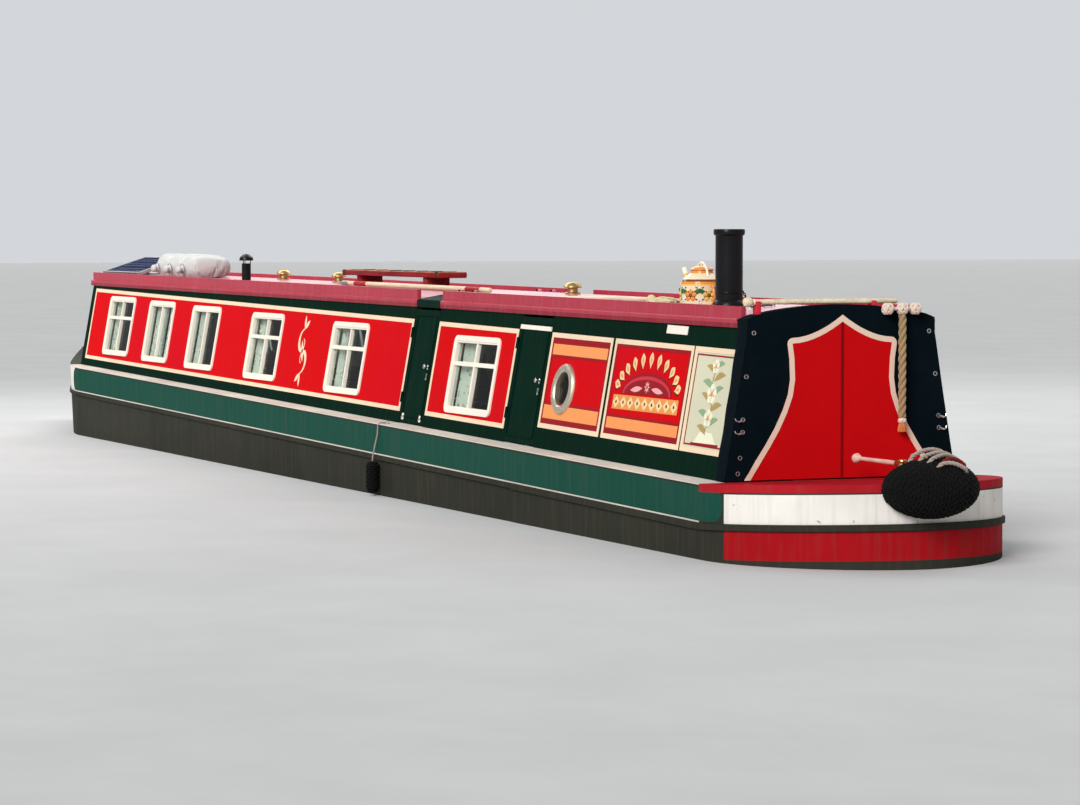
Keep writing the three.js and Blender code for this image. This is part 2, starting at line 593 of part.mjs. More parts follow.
// Mop: round shaft and cotton head
const MOP = { head: [2780, 3330], shaftEnd: 4700, y: 420 };
const mopZ = (s) => roofTopZ(s, MOP.y);
add('mop', onRoof(join(
  ball([x((MOP.head[0] + MOP.head[1]) / 2), MOP.y, mopZ(3050) + 30], [(MOP.head[1] - MOP.head[0]) / 2, 95, 58]),
  rod([x(3150), MOP.y, mopZ(3150) + 40], [x(MOP.shaftEnd), MOP.y, mopZ(MOP.shaftEnd) + 17], 16, 10),
)), finish.cream());

// Painted water can: body, shoulder, lid, spout and hoop handle
const CAN = { station: 2260, y: 462, radius: 145, height: 325 };
const canFoot = roofTopZ(CAN.station, CAN.y) - 30;
const canHoop = new THREE.EllipseCurve(0, 0, 105, 150, 0.15, Math.PI - 0.15);
const hoopPath = new THREE.CatmullRomCurve3(canHoop.getPoints(8).map(
  (p) => new THREE.Vector3(x(CAN.station) + p.x, CAN.y, canFoot + 195 + p.y)));
const hoopSection = new THREE.Shape(new THREE.EllipseCurve(0, 0, 9, 9).getPoints(8).slice(0, 8));
const canHandle = outward(new THREE.ExtrudeGeometry(hoopSection,
  { steps: 12, bevelEnabled: false, extrudePath: hoopPath }));
add('water_can', onRoof(join(
  turned([
    [0, canFoot], [CAN.radius, canFoot], [CAN.radius - 4, canFoot + 215], [72, canFoot + 275],
    [72, canFoot + 292], [80, canFoot + 294], [70, canFoot + 312], [0, canFoot + CAN.height],
  ], [x(CAN.station), CAN.y, 0]),
  rod([x(CAN.station + 110), CAN.y, canFoot + 110], [x(CAN.station + 270), CAN.y, canFoot + 300], 24, 10),
  canHandle,
)), finish.cream());

// White sacks of fuel, side by side
const SACKS = { stations: [13700, 14120, 14540], y: 330, radii: [250, 290, 150] };
add('fuel_sacks', onRoof(join(...SACKS.stations.map((s) => ball(
  [x(s), SACKS.y, roofTopZ(s, SACKS.y) + 95], SACKS.radii, 16, 10)))), finish.sack());

// Solar panel on two wedge brackets
const PANEL = { stations: [14960, 16230], ys: [140, 610], rise: 150, thick: 34 };
const panelLow = roofTopZ(PANEL.stations[1], PANEL.ys[1]) + 45;
const panelLine = (from, to, offset) => [
  [from[0], from[1] + offset], [to[0], to[1] + offset],
];
const panelFoot = [PANEL.ys[1], panelLow];
const panelHead = [PANEL.ys[0], panelLow + PANEL.rise];
const panelSection = [...panelLine(panelFoot, panelHead, 0), ...panelLine(panelHead, panelFoot, PANEL.thick)];
const bracketSection = [
  [PANEL.ys[1] - 40, panelLow - 75], [PANEL.ys[1] - 40, panelLow + 25],
  [PANEL.ys[0] + 40, panelLow + PANEL.rise - 2], [PANEL.ys[0] + 40, panelLow - 75],
];
add('solar_panel', onRoof(join(
  prism(panelSection, SECTION, x(PANEL.stations[0]), x(PANEL.stations[1])),
  ...[15120, 16020].map((s) => prism(bracketSection, SECTION, x(s), x(s) + 50)),
)), finish.glassy());

// Laced-on canvas over the rear bulkhead, lapped over the roof's edge and the cabin's corners
const COVER_LAP = 130;
const COVER_THICK = 22;
const capSection = (grow, foot) => (s) => {
  const eaves = roofEdgeZ(s) - 2;
  const roofEdge = roofHalf(s) + ROOF_OVERHANG;
  return [
    ...crownLine(s, roofHalf(s), ROOF_THICK + grow),
    [-roofEdge - grow, roofEdgeZ(s) + ROOF_THICK],
    [-roofEdge - grow, eaves - grow],
    [-cabinY(s, eaves) - grow, eaves - grow],
    [-cabinY(s, foot) - grow, foot],
    [cabinY(s, foot) + grow, foot],
    [cabinY(s, eaves) + grow, eaves - grow],
    [roofEdge + grow, eaves - grow],
    [roofEdge + grow, roofEdgeZ(s) + ROOF_THICK],
  ];
};
const ROOF_REAR = CABIN_REAR - 6;
const COVER_FACE = ROOF_REAR - COVER_THICK;
const COVER_FOOT = gunwaleZ(CABIN_REAR) + 6;
const COVER_CLEAR = 0.5;
const coverOuter = along([COVER_FACE, CABIN_REAR + COVER_LAP], capSection(COVER_THICK + COVER_CLEAR, COVER_FOOT));
const coverInner = along([ROOF_REAR - 0.5, CABIN_REAR + COVER_LAP + 10], capSection(COVER_CLEAR, COVER_FOOT - 30));
add('stern_cover', cut(coverOuter, coverInner), finish.canvas());

// Pole laid across the cover, and the knotted rope that hangs beside the bell
const POLE = { ys: [-420, 655], radius: 17, station: 1165 };
const poleZ = roofTopZ(POLE.station, 0) + COVER_CLEAR + COVER_THICK + POLE.radius + 0.4;
add('cover_pole', join(
  rod([x(POLE.station), POLE.ys[0], poleZ], [x(POLE.station), POLE.ys[1], poleZ], POLE.radius, 12),
  ball([x(POLE.station), POLE.ys[1] + 10, poleZ], [32, 36, 32], 12, 8),
), finish.cream());

const KNOTS = { ys: [-310, -420, -515], radius: 34, z: DRAUGHT + 1588 };
const knotX = x(COVER_FACE) - KNOTS.radius - GAP;
add('rope_knots', join(
  rod([knotX, KNOTS.ys[0], KNOTS.z], [knotX, KNOTS.ys[2], KNOTS.z], 13, 10),
  ...KNOTS.ys.map((y) => ball([knotX, y, KNOTS.z], [KNOTS.radius, 36, 40], 12, 8)),
), finish.rope());

const ROPE = { y: KNOTS.ys[1], radius: 26, top: KNOTS.z - 40 - GAP, bottom: DRAUGHT + 880 };
const ROPE_STEPS = 14;
const ropeRoute = [];
for (let i = 0; i <= ROPE_STEPS; i += 1) {
  ropeRoute.push(new THREE.Vector3(knotX, ROPE.y, ROPE.top + ((ROPE.bottom - ROPE.top) * i) / ROPE_STEPS));
}
const ropeSection = new THREE.Shape(new THREE.EllipseCurve(0, 0, ROPE.radius, ROPE.radius).getPoints(10).slice(0, 10));
add('hanging_rope', outward(new THREE.ExtrudeGeometry(ropeSection,
  { steps: ROPE_STEPS, bevelEnabled: false, extrudePath: new THREE.CatmullRomCurve3(ropeRoute) })), finish.rope());
const tasselTop = ROPE.bottom - GAP;
add('rope_tassel', turned([
  [0, tasselTop - 95], [26, tasselTop - 95], [30, tasselTop - 60], [20, tasselTop - 40],
  [32, tasselTop - 22], [24, tasselTop - 4], [12, tasselTop], [0, tasselTop],
], [knotX, ROPE.y, 0], 12), finish.rope());

// Fenders of tarred rope at the counter, the stem and the sides
const sternFenderBody = ball([x(-20), 0, DRAUGHT + 505], [280, 300, 190], 24, 14);
const FENDER_CLEAR = 0.5;
const clearOf = (body, solid) => cut(body, ...[[1, 0, 0], [-1, 0, 0], [0, 1, 0], [0, -1, 0], [0, 0, 1], [0, 0, -1]]
  .map((way) => solid.clone().translate(...way.map((part) => part * FENDER_CLEAR))));
add('stern_fender', cut(clearOf(sternFenderBody, sternOuter), prism(counterPlan(FENDER_CLEAR), PLAN, 900, 1500)),
  finish.tarRope());

const STEM_FENDER_Z = sheerZ(LENGTH) - 330;
add('bow_fender', clearOf(ball([x(LENGTH - 40), 0, STEM_FENDER_Z], [240, 175, 210], 20, 12), bowOuter),
  finish.tarRope());

const SIDE_FENDER = { station: 6950, radius: 55, length: 255 };
const fenderY = HALF_BEAM + SIDE_FENDER.radius - 0.2;
const fenderTop = gunwaleZ(SIDE_FENDER.station) - BEAD_DROP - BEAD_HALF_HEIGHT - 1;
const sideFender = turned([
  [0, fenderTop - SIDE_FENDER.length], [36, fenderTop - SIDE_FENDER.length],
  [SIDE_FENDER.radius, fenderTop - SIDE_FENDER.length + 26], [SIDE_FENDER.radius, fenderTop - 26],
  [36, fenderTop], [0, fenderTop],
], [x(SIDE_FENDER.station), fenderY, 0], 16);
add('side_fender_port', sideFender, finish.tarRope());
add('side_fender_starboard', mirrored(sideFender), finish.tarRope());

// Steering: rudder on its stock and the low tiller arm; the skeg's end carries the stock
const RUDDER = { stations: [60, 500], half: 9, zs: [70, UXTER_Z - 30] };
const DECK_Z = gunwaleZ(RUDDER_STATION);
const TILLER_Z = DRAUGHT + 634;
add('rudder', join(
  rod([x(RUDDER_STATION), 0, SKEG.top + 0.5], [x(RUDDER_STATION), 0, TILLER_Z - 24], STOCK_RADIUS, 16),
  box(RUDDER.stations, [-RUDDER.half, RUDDER.half], RUDDER.zs),
), finish.black());
const TILLER_END = 925;
add('tiller', join(
  rod([x(RUDDER_STATION), 0, TILLER_Z - 24 + GAP], [x(RUDDER_STATION), 0, TILLER_Z + 26], 30, 16),
  rod([x(RUDDER_STATION), 0, TILLER_Z], [x(TILLER_END), 0, TILLER_Z], 15, 12),
  ball([x(TILLER_END), 0, TILLER_Z], [34, 34, 34], 14, 10),
), finish.cream());

// Propeller and shaft, and the engine as one block at its real place
const PROPELLER = { stations: [650, 760], hub: 46, radius: 215, blades: 3 };
function blade(angle) {
  const outline = new THREE.Shape();
  outline.moveTo(-38, 25);
  outline.lineTo(38, 25);
  outline.bezierCurveTo(110, 80, 105, PROPELLER.radius, 0, PROPELLER.radius);
  outline.bezierCurveTo(-105, PROPELLER.radius, -110, 80, -38, 25);
  const g = new THREE.ExtrudeGeometry(outline, { depth: 10, bevelEnabled: false, curveSegments: 6 });
  g.translate(0, 0, -5).rotateY(0.5).applyMatrix4(SECTION).rotateX(angle);
  return outward(g.translate(x(705), 0, SHAFT_Z));
}
const blades = Array.from({ length: PROPELLER.blades }, (_, i) => blade((i * 2 * Math.PI) / PROPELLER.blades));
add('propeller', join(
  rod([x(PROPELLER.stations[0]), 0, SHAFT_Z], [x(PROPELLER.stations[1]), 0, SHAFT_Z], PROPELLER.hub, 18),
  rod([x(740), 0, SHAFT_Z], [x(1170), 0, SHAFT_Z], SHAFT_RADIUS, 12),
  ...blades,
), finish.brass());
add('engine', box([1950, 2950], [-240, 240], [ENGINE_BAY_Z + GAP, 700]), finish.steel());

export default boat;
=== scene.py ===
# %% [markdown]
# # Dressing a canal narrowboat
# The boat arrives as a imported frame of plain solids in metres: +X is the bow, +Y is port and +Z is up.
# This notebook gives every surface its finish and adds the fine pieces, from window frames to rope work.
# Nothing here moves or reshapes a solid of the frame: a piece either stays and gets paint, or a finer
# piece is made in its place.

# %% Loading the frame
import math
import random

import bmesh
import bpy
from mathutils import Matrix, Vector, noise


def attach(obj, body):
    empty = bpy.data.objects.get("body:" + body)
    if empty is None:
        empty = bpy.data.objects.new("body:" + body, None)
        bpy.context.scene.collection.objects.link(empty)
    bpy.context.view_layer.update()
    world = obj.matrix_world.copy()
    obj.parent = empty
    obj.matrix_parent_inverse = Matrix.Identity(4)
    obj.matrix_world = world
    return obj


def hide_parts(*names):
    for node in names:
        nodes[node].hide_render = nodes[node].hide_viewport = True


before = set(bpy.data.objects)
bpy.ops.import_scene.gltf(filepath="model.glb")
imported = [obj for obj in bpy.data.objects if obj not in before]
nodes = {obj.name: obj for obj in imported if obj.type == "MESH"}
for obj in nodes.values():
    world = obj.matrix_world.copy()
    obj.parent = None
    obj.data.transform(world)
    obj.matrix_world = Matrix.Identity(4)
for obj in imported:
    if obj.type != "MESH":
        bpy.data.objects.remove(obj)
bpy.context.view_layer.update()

# %% [markdown]
# Boat builders measure along the hull. A station here is the distance forward of the counter's aft tip,
# so a station turns into X by taking away the station of the frame's middle. The sweep of the gunwale,
# the eaves and the leaning cabin side are three short formulas, and almost every piece is placed by them.

# %% The boat's own lines
MID_STATION = 9.25
WATER = 0.56            # waterline over the underside of the hull
LOWEST = 1.14           # station where the gunwale is lowest
GUNWALE_LOW = 1.045
RISE_AFT = 0.044        # how fast it rises aft of there
RISE_FORWARD = 0.0145
EAVES_RISE = 0.004
CABIN_HALF = 0.83       # half width of the cabin at the gunwale
LEAN = 0.18             # how far the cabin side leans in for each metre of height
CABIN_REAR = 1.15
CABIN_FRONT = 16.35
HALF_BEAM = 1.022
SIDE_NAMES = {1: "port", -1: "starboard"}


def along(station):
    return station - MID_STATION


def gunwale(s):
    return GUNWALE_LOW + (RISE_AFT * (LOWEST - s) if s < LOWEST else RISE_FORWARD * (s - LOWEST))


def eaves(s):
    return 2.035 + EAVES_RISE * (s - 3)


def side_y(s, z):
    return CABIN_HALF - LEAN * (z - gunwale(s))


def roof_z(s, y):
    return eaves(s) + 0.06 + 0.07 * (1 - (y / side_y(s, eaves(s))) ** 2)


def on_roof(s, y, over=0.0):
    return Vector((along(s), y, roof_z(s, y) + over))


print("eaves at", round(eaves(CABIN_REAR), 3), "to", round(eaves(CABIN_FRONT), 3))

# %% [markdown]
# The photograph was taken about 19 m behind the stern and 10 m to port of it. The camera stands there,
# so the perspective is the photograph's own. The boat is small in that wide picture, so the lens here is
# longer and is turned to the boat's middle: the same view, enlarged.

# %% Camera
PHOTO_FOCAL = 780       # pixels, in the photograph's 1080 x 805 frame
PHOTO_WIDTH = 1080
PHOTO_AXIS = (540, 402.5)
BOAT_IN_PHOTO = (610, 465)
ENLARGE = 4.4
SENSOR = 36
EYE = Vector((-27.75, 10.54, 2.644))
HEADING = math.radians(-18.08)
PITCH = math.radians(1.73)


def placed(name, data):
    """A new object for a mesh, a lamp or a camera, in the scene and at the origin."""
    made = bpy.data.objects.new(name, data)
    bpy.context.scene.collection.objects.link(made)
    return made


axis = Vector((
    math.cos(HEADING) * math.cos(PITCH), math.sin(HEADING) * math.cos(PITCH), math.sin(PITCH)))
right = Vector((math.sin(HEADING), -math.cos(HEADING), 0))
up = right.cross(axis)
aim = (axis * PHOTO_FOCAL + right * (BOAT_IN_PHOTO[0] - PHOTO_AXIS[0])
       - up * (BOAT_IN_PHOTO[1] - PHOTO_AXIS[1]))
camera = placed("camera", bpy.data.cameras.new("camera"))
camera.data.sensor_width = SENSOR
camera.data.lens = SENSOR * PHOTO_FOCAL * ENLARGE / PHOTO_WIDTH
camera.data.clip_end = 500
camera.location = EYE
camera.rotation_euler = aim.to_track_quat("-Z", "Y").to_euler()
bpy.context.scene.camera = camera
print("lens", round(camera.data.lens, 1), "mm")

# %% [markdown]
# The boat floats, so the studio's floor lies at the waterline. It has a hole that follows the middle of
# the plating, or else it would lie inside the cabin as well. The light is a big pale sky, two broad suns
# and two soft panels, which the camera doesn't see and which show only as sheen on the paint. The panel
# far ahead of the bow stands where the roof mirrors it and makes the roof pale.

# %% Floor and light
FLOOR_REACH = 200
HULL_HOLE = ((1.18, 0.98), (15.8, 0.985), (16.4, 0.88))     # station, half width
SUNS = {  # where it comes from, strength, how wide it looks in degrees
    "broad_port": ((-6, 7, 5.5), 2.9, 28),
    "broad_starboard": ((3, -7, 6), 0.7, 50),
}
PANEL_LIGHTS = {  # place, size, watts
    "sheen": ((10, 2, 12), (26, 5), 1500),
    "horizon": ((356, -116, 66), (208, 120), 118000),
}
PANELS_FACE = (0, 0, 2)
SKY_LIGHT = 0.34        # what the sky gives the boat
SKY_SEEN = 0.70         # how bright it looks behind the boat


def studio_floor():
    bm = bmesh.new()
    half = [(along(s), y) for s, y in HULL_HOLE]
    hull_ring = half + [(x, -y) for x, y in reversed(half)]
    outer_ring = [(a * FLOOR_REACH, b * FLOOR_REACH) for a, b in ((-1, -1), (1, -1), (1, 1), (-1, 1))]
    for outline in (hull_ring, outer_ring):
        ring = [bm.verts.new((x, y, WATER)) for x, y in outline]
        for a, b in zip(ring, ring[1:] + ring[:1]):
            bm.edges.new((a, b))
    bmesh.ops.triangle_fill(bm, use_beauty=True, edges=bm.edges, normal=(0, 0, 1))
    mesh = bpy.data.meshes.new("floor")
    bm.to_mesh(mesh)
    bm.free()
    return placed("floor", mesh)


def lamp(name, kind, place, towards, energy):
    data = bpy.data.lights.new(name, kind)
    data.energy = energy
    made = placed(name, data)
    made.location = place
    made.rotation_euler = (Vector(towards) - Vector(place)).to_track_quat("-Z", "Y").to_euler()
    made.visible_camera = False
    return data


def studio_sky():
    world = bpy.data.worlds.new("studio")
    world.use_nodes = True
    tree = world.node_tree
    sky = tree.nodes["Background"]
    sky.inputs["Color"].default_value = (0.93, 0.96, 1.0, 1)
    rays = tree.nodes.new("ShaderNodeLightPath")
    strength = tree.nodes.new("ShaderNodeMapRange")
    strength.inputs["To Min"].default_value = SKY_LIGHT
    strength.inputs["To Max"].default_value = SKY_SEEN
    tree.links.new(rays.outputs["Is Camera Ray"], strength.inputs["Value"])
    tree.links.new(strength.outputs[0], sky.inputs["Strength"])
    return world


for name, (place, strength, wide) in SUNS.items():
    lamp(name, "SUN", place, (0, 0, 0), strength).angle = math.radians(wide)
for name, (place, size, watts) in PANEL_LIGHTS.items():
    panel = lamp(name, "AREA", place, PANELS_FACE, watts)
    panel.shape = "RECTANGLE"
    panel.size, panel.size_y = size
floor = studio_floor()
bpy.context.scene.world = studio_sky()
bpy.context.scene.view_settings.view_transform = "Standard"
print("lights", len(SUNS) + len(PANEL_LIGHTS))

# %% [markdown]
# A shader is a small machine of connected nodes. A `Pot` holds one such machine while it is built and
# gives short words for the nodes that the recipes need: `calc` is one step of arithmetic, `mix` blends
# two colours and `noise` is a cloudy pattern. Whatever goes into a node is either linked, when it comes
# out of another node, or else written into the node's own input.

# %% Helpers for shader nodes
class Pot:
    """A material or a node group on the bench."""

    def __init__(self, tree):
        self.tree = tree
        self.shader = tree.nodes.get("Principled BSDF")

    def feed(self, socket, source):
        if isinstance(source, bpy.types.NodeSocket):
            self.tree.links.new(source, socket)
        elif source is not None:
            socket.default_value = (*source, 1) if socket.type == "RGBA" else source

    def node(self, kind, *sources, **settings):
        made = self.tree.nodes.new("ShaderNode" + kind)
        for name, value in settings.items():
            setattr(made, name, value)
        for place, source in enumerate(sources):
            self.feed(made.inputs[place], source)
        return made

    def calc(self, operation, a, b=0.0, c=None):
        return self.node("Math", a, b, c, operation=operation).outputs[0]

    def times(self, a, b):
        return self.calc("MULTIPLY", a, b)

    def less(self, a, b):
        return self.calc("SUBTRACT", a, b)

    def mix(self, factor, a, b):
        made = self.node("Mix", data_type="RGBA")
        for place, source in ((0, factor), (6, a), (7, b)):
            self.feed(made.inputs[place], source)
        return made.outputs[2]

    def ramp(self, value, low, high, to_low=0.0, to_high=1.0):
        return self.node("MapRange", value, low, high, to_low, to_high).outputs[0]

    def place(self, stretch=None):
        """The point on the piece in metres; stretch squeezes a pattern along the three axes."""
        point = self.node("TexCoord").outputs["Object"]
        return self.node("Mapping", point, None, None, stretch).outputs[0] if stretch else point

    def noise(self, scale, detail, rough, place=None):
        return self.node("TexNoise", place or self.place(), None, scale, detail, rough).outputs[0]

    def wave(self, direction, *numbers, place=None):
        return self.node("TexWave", place or self.place(), *numbers, bands_direction=direction).outputs[1]

    def use(self, name, **values):
        """The outputs of one of the shared node groups."""
        made = self.tree.nodes.new("ShaderNodeGroup")
        made.node_tree = bpy.data.node_groups[name]
        for label, value in values.items():
            self.feed(made.inputs[label], value)
        return made.outputs

    def stripe(self, value, low, high, soft=0.002):
        return self.use("stripe", value=value, low=low, high=high, soft=soft)[0]

    def faded(self, fresh, bleached):
        return self.mix(self.use("weather")["fade"], fresh, bleached)

    def finish(self, colour, roughness, height=None, strength=0.0, distance=0.002):
        """Feeds the shader, with height as a bump."""
        self.feed(self.shader.inputs["Base Color"], colour)
        self.feed(self.shader.inputs["Roughness"], roughness)
        if height is not None:
            made = self.node("Bump", strength, distance)
            self.feed(made.inputs["Height"], height)
            self.feed(self.shader.inputs["Normal"], made.outputs[0])

    def weathered(self, colour, fade=0.10, runs=0.12, low=0.25, high=0.42, peel=0.05):
        """Finishes the material with a paint on which the weather has acted."""
        signs = self.use("weather")
        value = self.ramp(signs["fade"], 0, 1, 1.0 + fade, 1.0 - fade)
        bleached = self.node("HueSaturation", 0.5, 1.0, value, 1.0, colour).outputs[0]
        dirty = self.mix(self.times(signs["runs"], runs), bleached, (0.10, 0.085, 0.06))
        self.finish(dirty, self.ramp(signs["fade"], 0, 1, low, high), signs["peel"], peel, 0.001)


paints = {}             # the finished materials by name; the frame has plain ones of the same names


def new_pot(name, roughness, metallic=0.0, coat=0.0, coat_roughness=0.1, sheen=0.0, specular=0.10):
    """A new material. What is the same all over it is set on the shader's own sockets."""
    material = bpy.data.materials.new(name)
    paints[name] = material
    material.use_nodes = True
    pot = Pot(material.node_tree)
    for label, value in (("Roughness", roughness), ("Metallic", metallic), ("Coat Weight", coat),
                         ("Coat Roughness", coat_roughness), ("Sheen Weight", sheen),
                         ("Specular IOR Level", specular)):
        pot.shader.inputs[label].default_value = value
    return pot


def group(name, inputs, outputs, build):
    """A node group with named number inputs; build(pot, inputs) returns its outputs' sources."""
    tree = bpy.data.node_groups.new(name, "ShaderNodeTree")
    for label, value in inputs.items():
        socket = tree.interface.new_socket(label, in_out="INPUT", socket_type="NodeSocketFloat")
        socket.default_value = value
    for label in outputs:
        tree.interface.new_socket(label, in_out="OUTPUT", socket_type="NodeSocketFloat")
    start = tree.nodes.new("NodeGroupInput")
    end = tree.nodes.new("NodeGroupOutput")
    for place, source in enumerate(build(Pot(tree), start.outputs)):
        tree.links.new(source, end.inputs[place])


print("bench ready")

# %% [markdown]
# Paint on a canal boat follows the hull's lines, not the level of the ground. The first group turns a
# point into its station and its heights over the gunwale and the eaves. The second is a soft-edged
# stripe between two values: every band of paint is one or two stripes. The third is the weather. Sun
# fades paint in broad patches, rain leaves streaks down the sides, a brush leaves a faint orange peel,
# and use leaves scuffs. It puts these out as numbers, and each material decides how strongly they act.

# %% Shader groups: the boat's lines, a stripe and the weather
SHEER_RISE = 0.25       # how far the stem head stands over the straight gunwale
STEM = 18.6


def build_lines(pot, _):
    x, y, z = pot.node("SeparateXYZ", pot.place()).outputs
    station = pot.calc("ADD", x, MID_STATION)
    forward = pot.times(pot.less(station, LOWEST), RISE_FORWARD)
    aft = pot.times(pot.less(LOWEST, station), RISE_AFT)
    line = pot.calc("ADD", pot.calc("MAXIMUM", forward, aft), GUNWALE_LOW)
    bow = pot.calc("DIVIDE", pot.less(station, CABIN_FRONT), STEM - CABIN_FRONT)
    sweep = pot.calc("POWER", pot.calc("MAXIMUM", bow, 0.0), 2.0)
    over_gunwale = pot.less(z, pot.calc("MULTIPLY_ADD", sweep, SHEER_RISE, line))
    over_eaves = pot.less(z, pot.calc("MULTIPLY_ADD", station, EAVES_RISE, eaves(0)))
    athwart = pot.calc("ABSOLUTE", y)
    skin = pot.calc("MULTIPLY_ADD", over_gunwale, -LEAN, CABIN_HALF)
    return station, athwart, z, over_gunwale, over_eaves, pot.less(skin, athwart)


def build_stripe(pot, inputs):
    rise = pot.less(inputs["value"], inputs["low"])
    fall = pot.less(inputs["high"], inputs["value"])
    edge = pot.calc("DIVIDE", pot.calc("MINIMUM", rise, fall), inputs["soft"])
    return [pot.node("Clamp", pot.calc("ADD", edge, 0.5)).outputs[0]]


def build_weather(pot, _):
    fade = pot.ramp(pot.noise(0.9, 4.0, 0.6), 0.35, 0.7)
    runs = pot.ramp(pot.noise(2.2, 5.0, 0.65, pot.place((9, 9, 0.7))), 0.48, 0.78)
    scuffs = pot.ramp(pot.noise(11.0, 3.0, 0.7), 0.66, 0.72)
    return fade, runs, pot.noise(60.0, 3.0, 0.6), scuffs


group("boat lines", {}, ["station", "athwart", "height", "over gunwale", "over eaves", "inward"],
      build_lines)
group("stripe", {"value": 0, "low": 0, "high": 1, "soft": 0.002}, ["mask"], build_stripe)
group("weather", {}, ["fade", "runs", "peel", "scuffs"], build_weather)
print("groups", [g.name for g in bpy.data.node_groups])

# %% [markdown]
# The floor is the first thing to get a finish: pale, plain and a little uneven, so that it doesn't
# mirror the boat.

# %% Material: floor
pot = new_pot("studio_floor", 0.65, specular=0.0)
pot.finish(pot.faded((0.56, 0.56, 0.555), (0.60, 0.60, 0.595)), 0.65)
floor.data.materials.append(paints["studio_floor"])
print("floor painted")

# %% [markdown]
# Every new piece starts as an empty bmesh. Small shapes are added to it with operators and it becomes
# a piece at the end, when its doubles are merged, its faces are turned outwards and it is told which
# body it rides on. These are the few shapes that nearly everything on the boat is made of. A spin
# turns a profile into a pot or a ring, and a line becomes a bar when a curve with a bevel runs along it.

# %% Helpers for shapes
def piece(name, bm, materials, body="hull", stands_for=(), smooth=35, merge=1e-5):
    """A bmesh becomes a finished piece that rides on a body. Materials are given by their names."""
    bmesh.ops.remove_doubles(bm, verts=bm.verts, dist=merge)
    bmesh.ops.recalc_face_normals(bm, faces=bm.faces)
    mesh = bpy.data.meshes.new(name)
    bm.to_mesh(mesh)
    bm.free()
    mesh.shade_smooth()
    mesh.set_sharp_from_angle(angle=math.radians(smooth))
    for material in materials.split():
        mesh.materials.append(paints[material])
    made = placed(name, mesh)
    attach(made, body)
    if stands_for:
        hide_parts(*stands_for)
    return made


def put_in(bm, other, paint=0):
    """Adds one bmesh to another, in one paint. Small bmeshes joined like this stay quick to make."""
    mesh = bpy.data.meshes.new("part")
    for face in other.faces:
        face.material_index = paint
    other.to_mesh(mesh)
    other.free()
    bm.from_mesh(mesh)
    bpy.data.meshes.remove(mesh)


def facing(direction):
    """The turn that takes +Z to a direction."""
    return Vector(direction).to_track_quat("Z", "Y").to_matrix().to_4x4()


def block(bm, low, high, ease=0.0, paint=0):
    """A box between two corners, with its edges eased."""
    size = [b - a for a, b in zip(low, high)]
    middle = [(a + b) / 2 for a, b in zip(low, high)]
    part = bmesh.new()
    bmesh.ops.create_cube(part, size=1, matrix=Matrix.Translation(middle) @ Matrix.Diagonal((*size, 1)))
    if ease:
        bmesh.ops.bevel(part, geom=part.edges[:], offset=ease, segments=2, profile=0.5,
                        affect="EDGES", material=-1)
    put_in(bm, part, paint)


def rod(bm, a, b, radius, end_radius=None, sides=20, paint=0):
    """A round bar from a to b."""
    a, b = Vector(a), Vector(b)
    far = radius if end_radius is None else end_radius
    part = bmesh.new()
    bmesh.ops.create_cone(part, cap_ends=True, segments=sides, radius1=radius, radius2=far,
                          depth=(b - a).length, matrix=Matrix.Translation((a + b) / 2) @ facing(b - a))
    put_in(bm, part, paint)


def ball(bm, centre, radii, across=24, down=14, paint=0, turn=Matrix()):
    part = bmesh.new()
    place = Matrix.Translation(centre) @ turn @ Matrix.Diagonal((*radii, 1))
    bmesh.ops.create_uvsphere(part, u_segments=across, v_segments=down, radius=1, matrix=place)
    put_in(bm, part, paint)


def turned(bm, profile, centre, sides=40, paint=0, axis=(0, 0, 1)):
    """Spins a profile of (radius, height) pairs about an axis through centre."""
    part = bmesh.new()
    verts = [part.verts.new((r, 0, h)) for r, h in profile]
    edges = [part.edges.new(pair) for pair in zip(verts, verts[1:])]
    bmesh.ops.spin(part, geom=verts + edges, axis=(0, 0, 1), cent=(0, 0, 0), angle=math.tau,
                   steps=sides, use_merge=True)
    bmesh.ops.transform(part, matrix=Matrix.Translation(centre) @ facing(axis), verts=part.verts)
    put_in(bm, part, paint)


def hoop(bm, centre, normal, radius, thickness, sides=24, round_sides=8, stretch=1.0, paint=0, turn=None):
    """A closed ring of round bar; stretch makes a chain link of it, and turn lays it any way round."""
    part = bmesh.new()
    lay = Matrix.Translation((radius, 0, 0)) @ Matrix.Rotation(math.pi / 2, 4, "X")
    circle = bmesh.ops.create_circle(part, cap_ends=False, segments=round_sides, radius=thickness,
                                     matrix=lay)
    edges = list({e for v in circle["verts"] for e in v.link_edges})
    bmesh.ops.spin(part, geom=circle["verts"] + edges, axis=(0, 0, 1), cent=(0, 0, 0),
                   angle=math.tau, steps=sides, use_merge=True)
    place = Matrix.Translation(centre) @ (turn or facing(normal)) @ Matrix.Diagonal((1, stretch, 1, 1))
    bmesh.ops.transform(part, matrix=place, verts=part.verts)
    put_in(bm, part, paint)


def only(kind, geometry):
    """The vertices, edges or faces among what an operator gives back."""
    return [g for g in geometry if isinstance(g, kind)]


def thicken(part, faces, depth):
    """Pulls faces out along Y into a plate."""
    grown = bmesh.ops.extrude_face_region(part, geom=faces)["geom"]
    bmesh.ops.translate(part, vec=(0, depth, 0), verts=only(bmesh.types.BMVert, grown))


def plate(bm, outline, near, far, paint=0):
    """A flat shape of (across, up) points in the X-Z plane, given thickness from near to far along Y."""
    part = bmesh.new()
    face = part.faces.new([part.verts.new((a, near, b)) for a, b in outline])
    thicken(part, [face], far - near)
    put_in(bm, part, paint)


